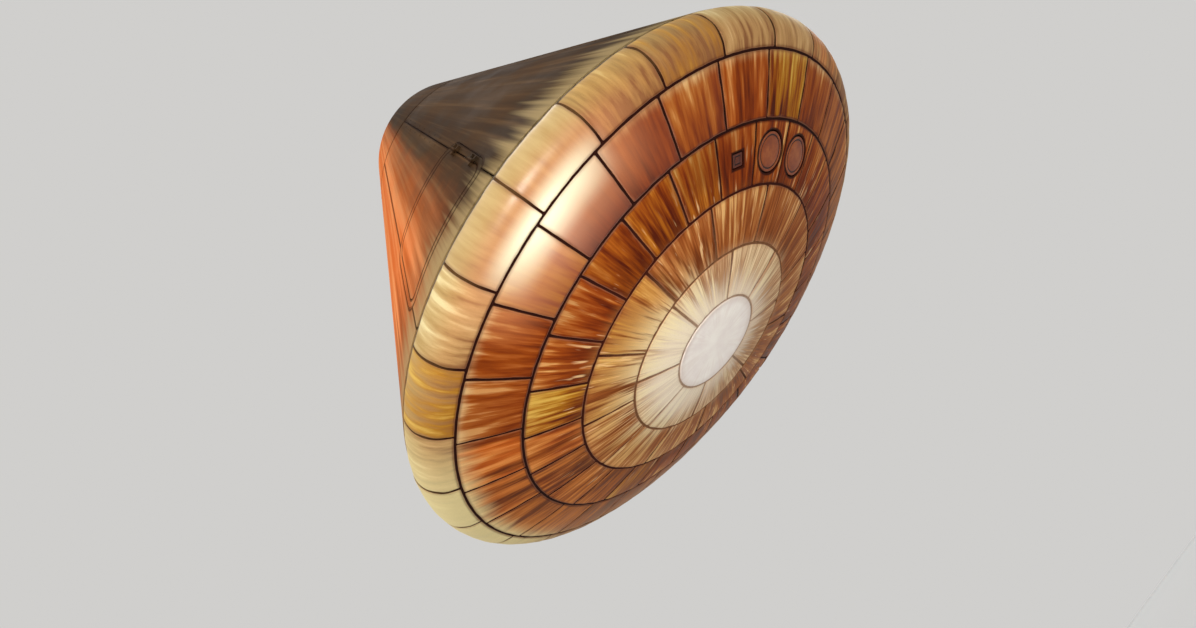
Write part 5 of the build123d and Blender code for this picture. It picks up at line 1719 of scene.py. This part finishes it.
doors, catches = Form(), Form()
for side in (-1, 1):
    m = Matrix((Vector((0, -side, 0)), Vector((0, 0, 1)), Vector((-side, 0, 0)))).transposed().to_4x4()
    m.translation = (side * 1.390, 0, 1.117)
    for i in range(3):
        for j in range(2):
            cx, cy = (i - 1) * 0.328, (j - 0.5) * 0.232
            doors.add(stack(edged(rounded_rect(0.157, 0.109, 0.018, 5, 3), -0.002, 0.009, 0.0035, 3), lambda x, y, h: Vector((x + cx, y + cy, h))), m)
            doors.add(stack(ring_rows(rounded_rect(0.132, 0.084, 0.012, 4, 2), 0.010, 0.008, 0.0125, 0.002, 2), lambda x, y, h: Vector((x + cx, y + cy, h)), closed=True), m)
            catches.add(stack(edged(rounded_rect(0.030, 0.011, 0.005, 4, 1), 0.008, 0.019, 0.003, 3), lambda x, y, h: Vector((x + cx, y + cy + 0.052, h))), m)
            for bx in (-0.145, 0.145):
                for by in (-0.097, 0.097):
                    catches.add(bolt(0.0042, 0.0025, 0.002, 8), m @ Matrix.Translation((cx + bx, cy + by, 0.009)))
doors.piece("locker_doors", LOCKER_M, "crew_module", "locker_shell", None, 35)
catches.piece("locker_catches", ALU, "crew_module", "handle_metal", None, 35)

# ------------------------------------------------------------------ studio
FLOOR = Mat("floor", Roughness=1.0, Specular_IOR_Level=0.0)
FLOOR.set(Base_Color=FLOOR.mix(FLOOR.step(FLOOR.noise(FLOOR.co, 0.8, 3.0, 0.5), 0.35, 0.65), "#fbfaf8", "#faf9f7"))
# a painted bluish glow in the floor under and round the capsule fills the capsule's shade and evens out the tone
FLOOR.set(Emission_Color=(0.43, 0.86, 1.0, 1.0), Emission_Strength=FLOOR.step(polar(FLOOR)[3], 9.8, 1.5, 0.0, 0.077))
floor = new_obj("studio_floor", [(-390, -390, FLOOR_Z), (390, -390, FLOOR_Z), (390, 390, FLOOR_Z), (-390, 390, FLOOR_Z)], [(0, 1, 2, 3)], FLOOR, smooth=False)
floor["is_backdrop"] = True

world = bpy.data.worlds.new("studio")
scene.world = world
world.use_nodes = True
wt = world.node_tree
bg = wt.nodes["Background"]
bg.inputs[0].default_value = (0.875, 0.872, 0.868, 1)
bg.inputs[1].default_value = 0.75
seen = wt.nodes.new("ShaderNodeBackground")
seen.inputs[0].default_value = (0.631, 0.623, 0.609, 1)
seen.inputs[1].default_value = 1.0
rays, either = wt.nodes.new("ShaderNodeLightPath"), wt.nodes.new("ShaderNodeMixShader")
wt.links.new(rays.outputs["Is Camera Ray"], either.inputs[0])
wt.links.new(bg.outputs[0], either.inputs[1])
wt.links.new(seen.outputs[0], either.inputs[2])
wt.links.new(either.outputs[0], wt.nodes["World Output"].inputs[0])


def area(name, at, to, size, power, colour=(1, 1, 1)):
    d = bpy.data.lights.new(name, "AREA")
    d.shape, d.size, d.energy, d.color = "DISK", size, power, colour
    o = bpy.data.objects.new(name, d)
    scene.collection.objects.link(o)
    o.location = at
    o.rotation_mode = "QUATERNION"
    o.rotation_quaternion = (Vector(to) - Vector(at)).to_track_quat("-Z", "Y")
    o.visible_camera = False
    return o


area("key", (-5.5, -9.0, 4.5), (0, 0, 1.2), 4.0, 260, (1.0, 0.97, 0.93))
area("top", (2.0, 1.0, 10.0), (0, 0, 2), 6.0, 260)
area("back", (5.0, 8.0, 5.0), (0, 0, 2), 4.0, 240, (0.95, 0.97, 1.0))
low = area("under", (0.436, -2.011, -1.99), (0.5, -2.255, 0.472), 0.9, 12.5, (1.0, 0.94, 0.83))
fill = area("low_fill", (3.0, -9.4, -1.6), (0, 0, 0.6), 3.0, 32.5, (1.0, 0.97, 0.91))
fill.data.spread = math.radians(42)
low.data.spread = math.radians(140)
# the lamps light the capsule alone: the floor keeps the even tone of the studio round it
apart = bpy.data.collections.new("floor_apart")
apart.objects.link(floor)
apart.collection_objects[0].light_linking.link_state = "EXCLUDE"
for side in (-1, 1):
    area("cabin_left" if side < 0 else "cabin_right", (0.80 * side, -0.15, 2.70), (0.25 * side, -0.1, 1.2), 0.35, 21, (1.0, 0.97, 0.92))

for o in scene.objects:
    if o.type == "LIGHT":
        o.light_linking.receiver_collection = apart

scene.view_settings.view_transform = "Standard"

lo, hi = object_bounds()
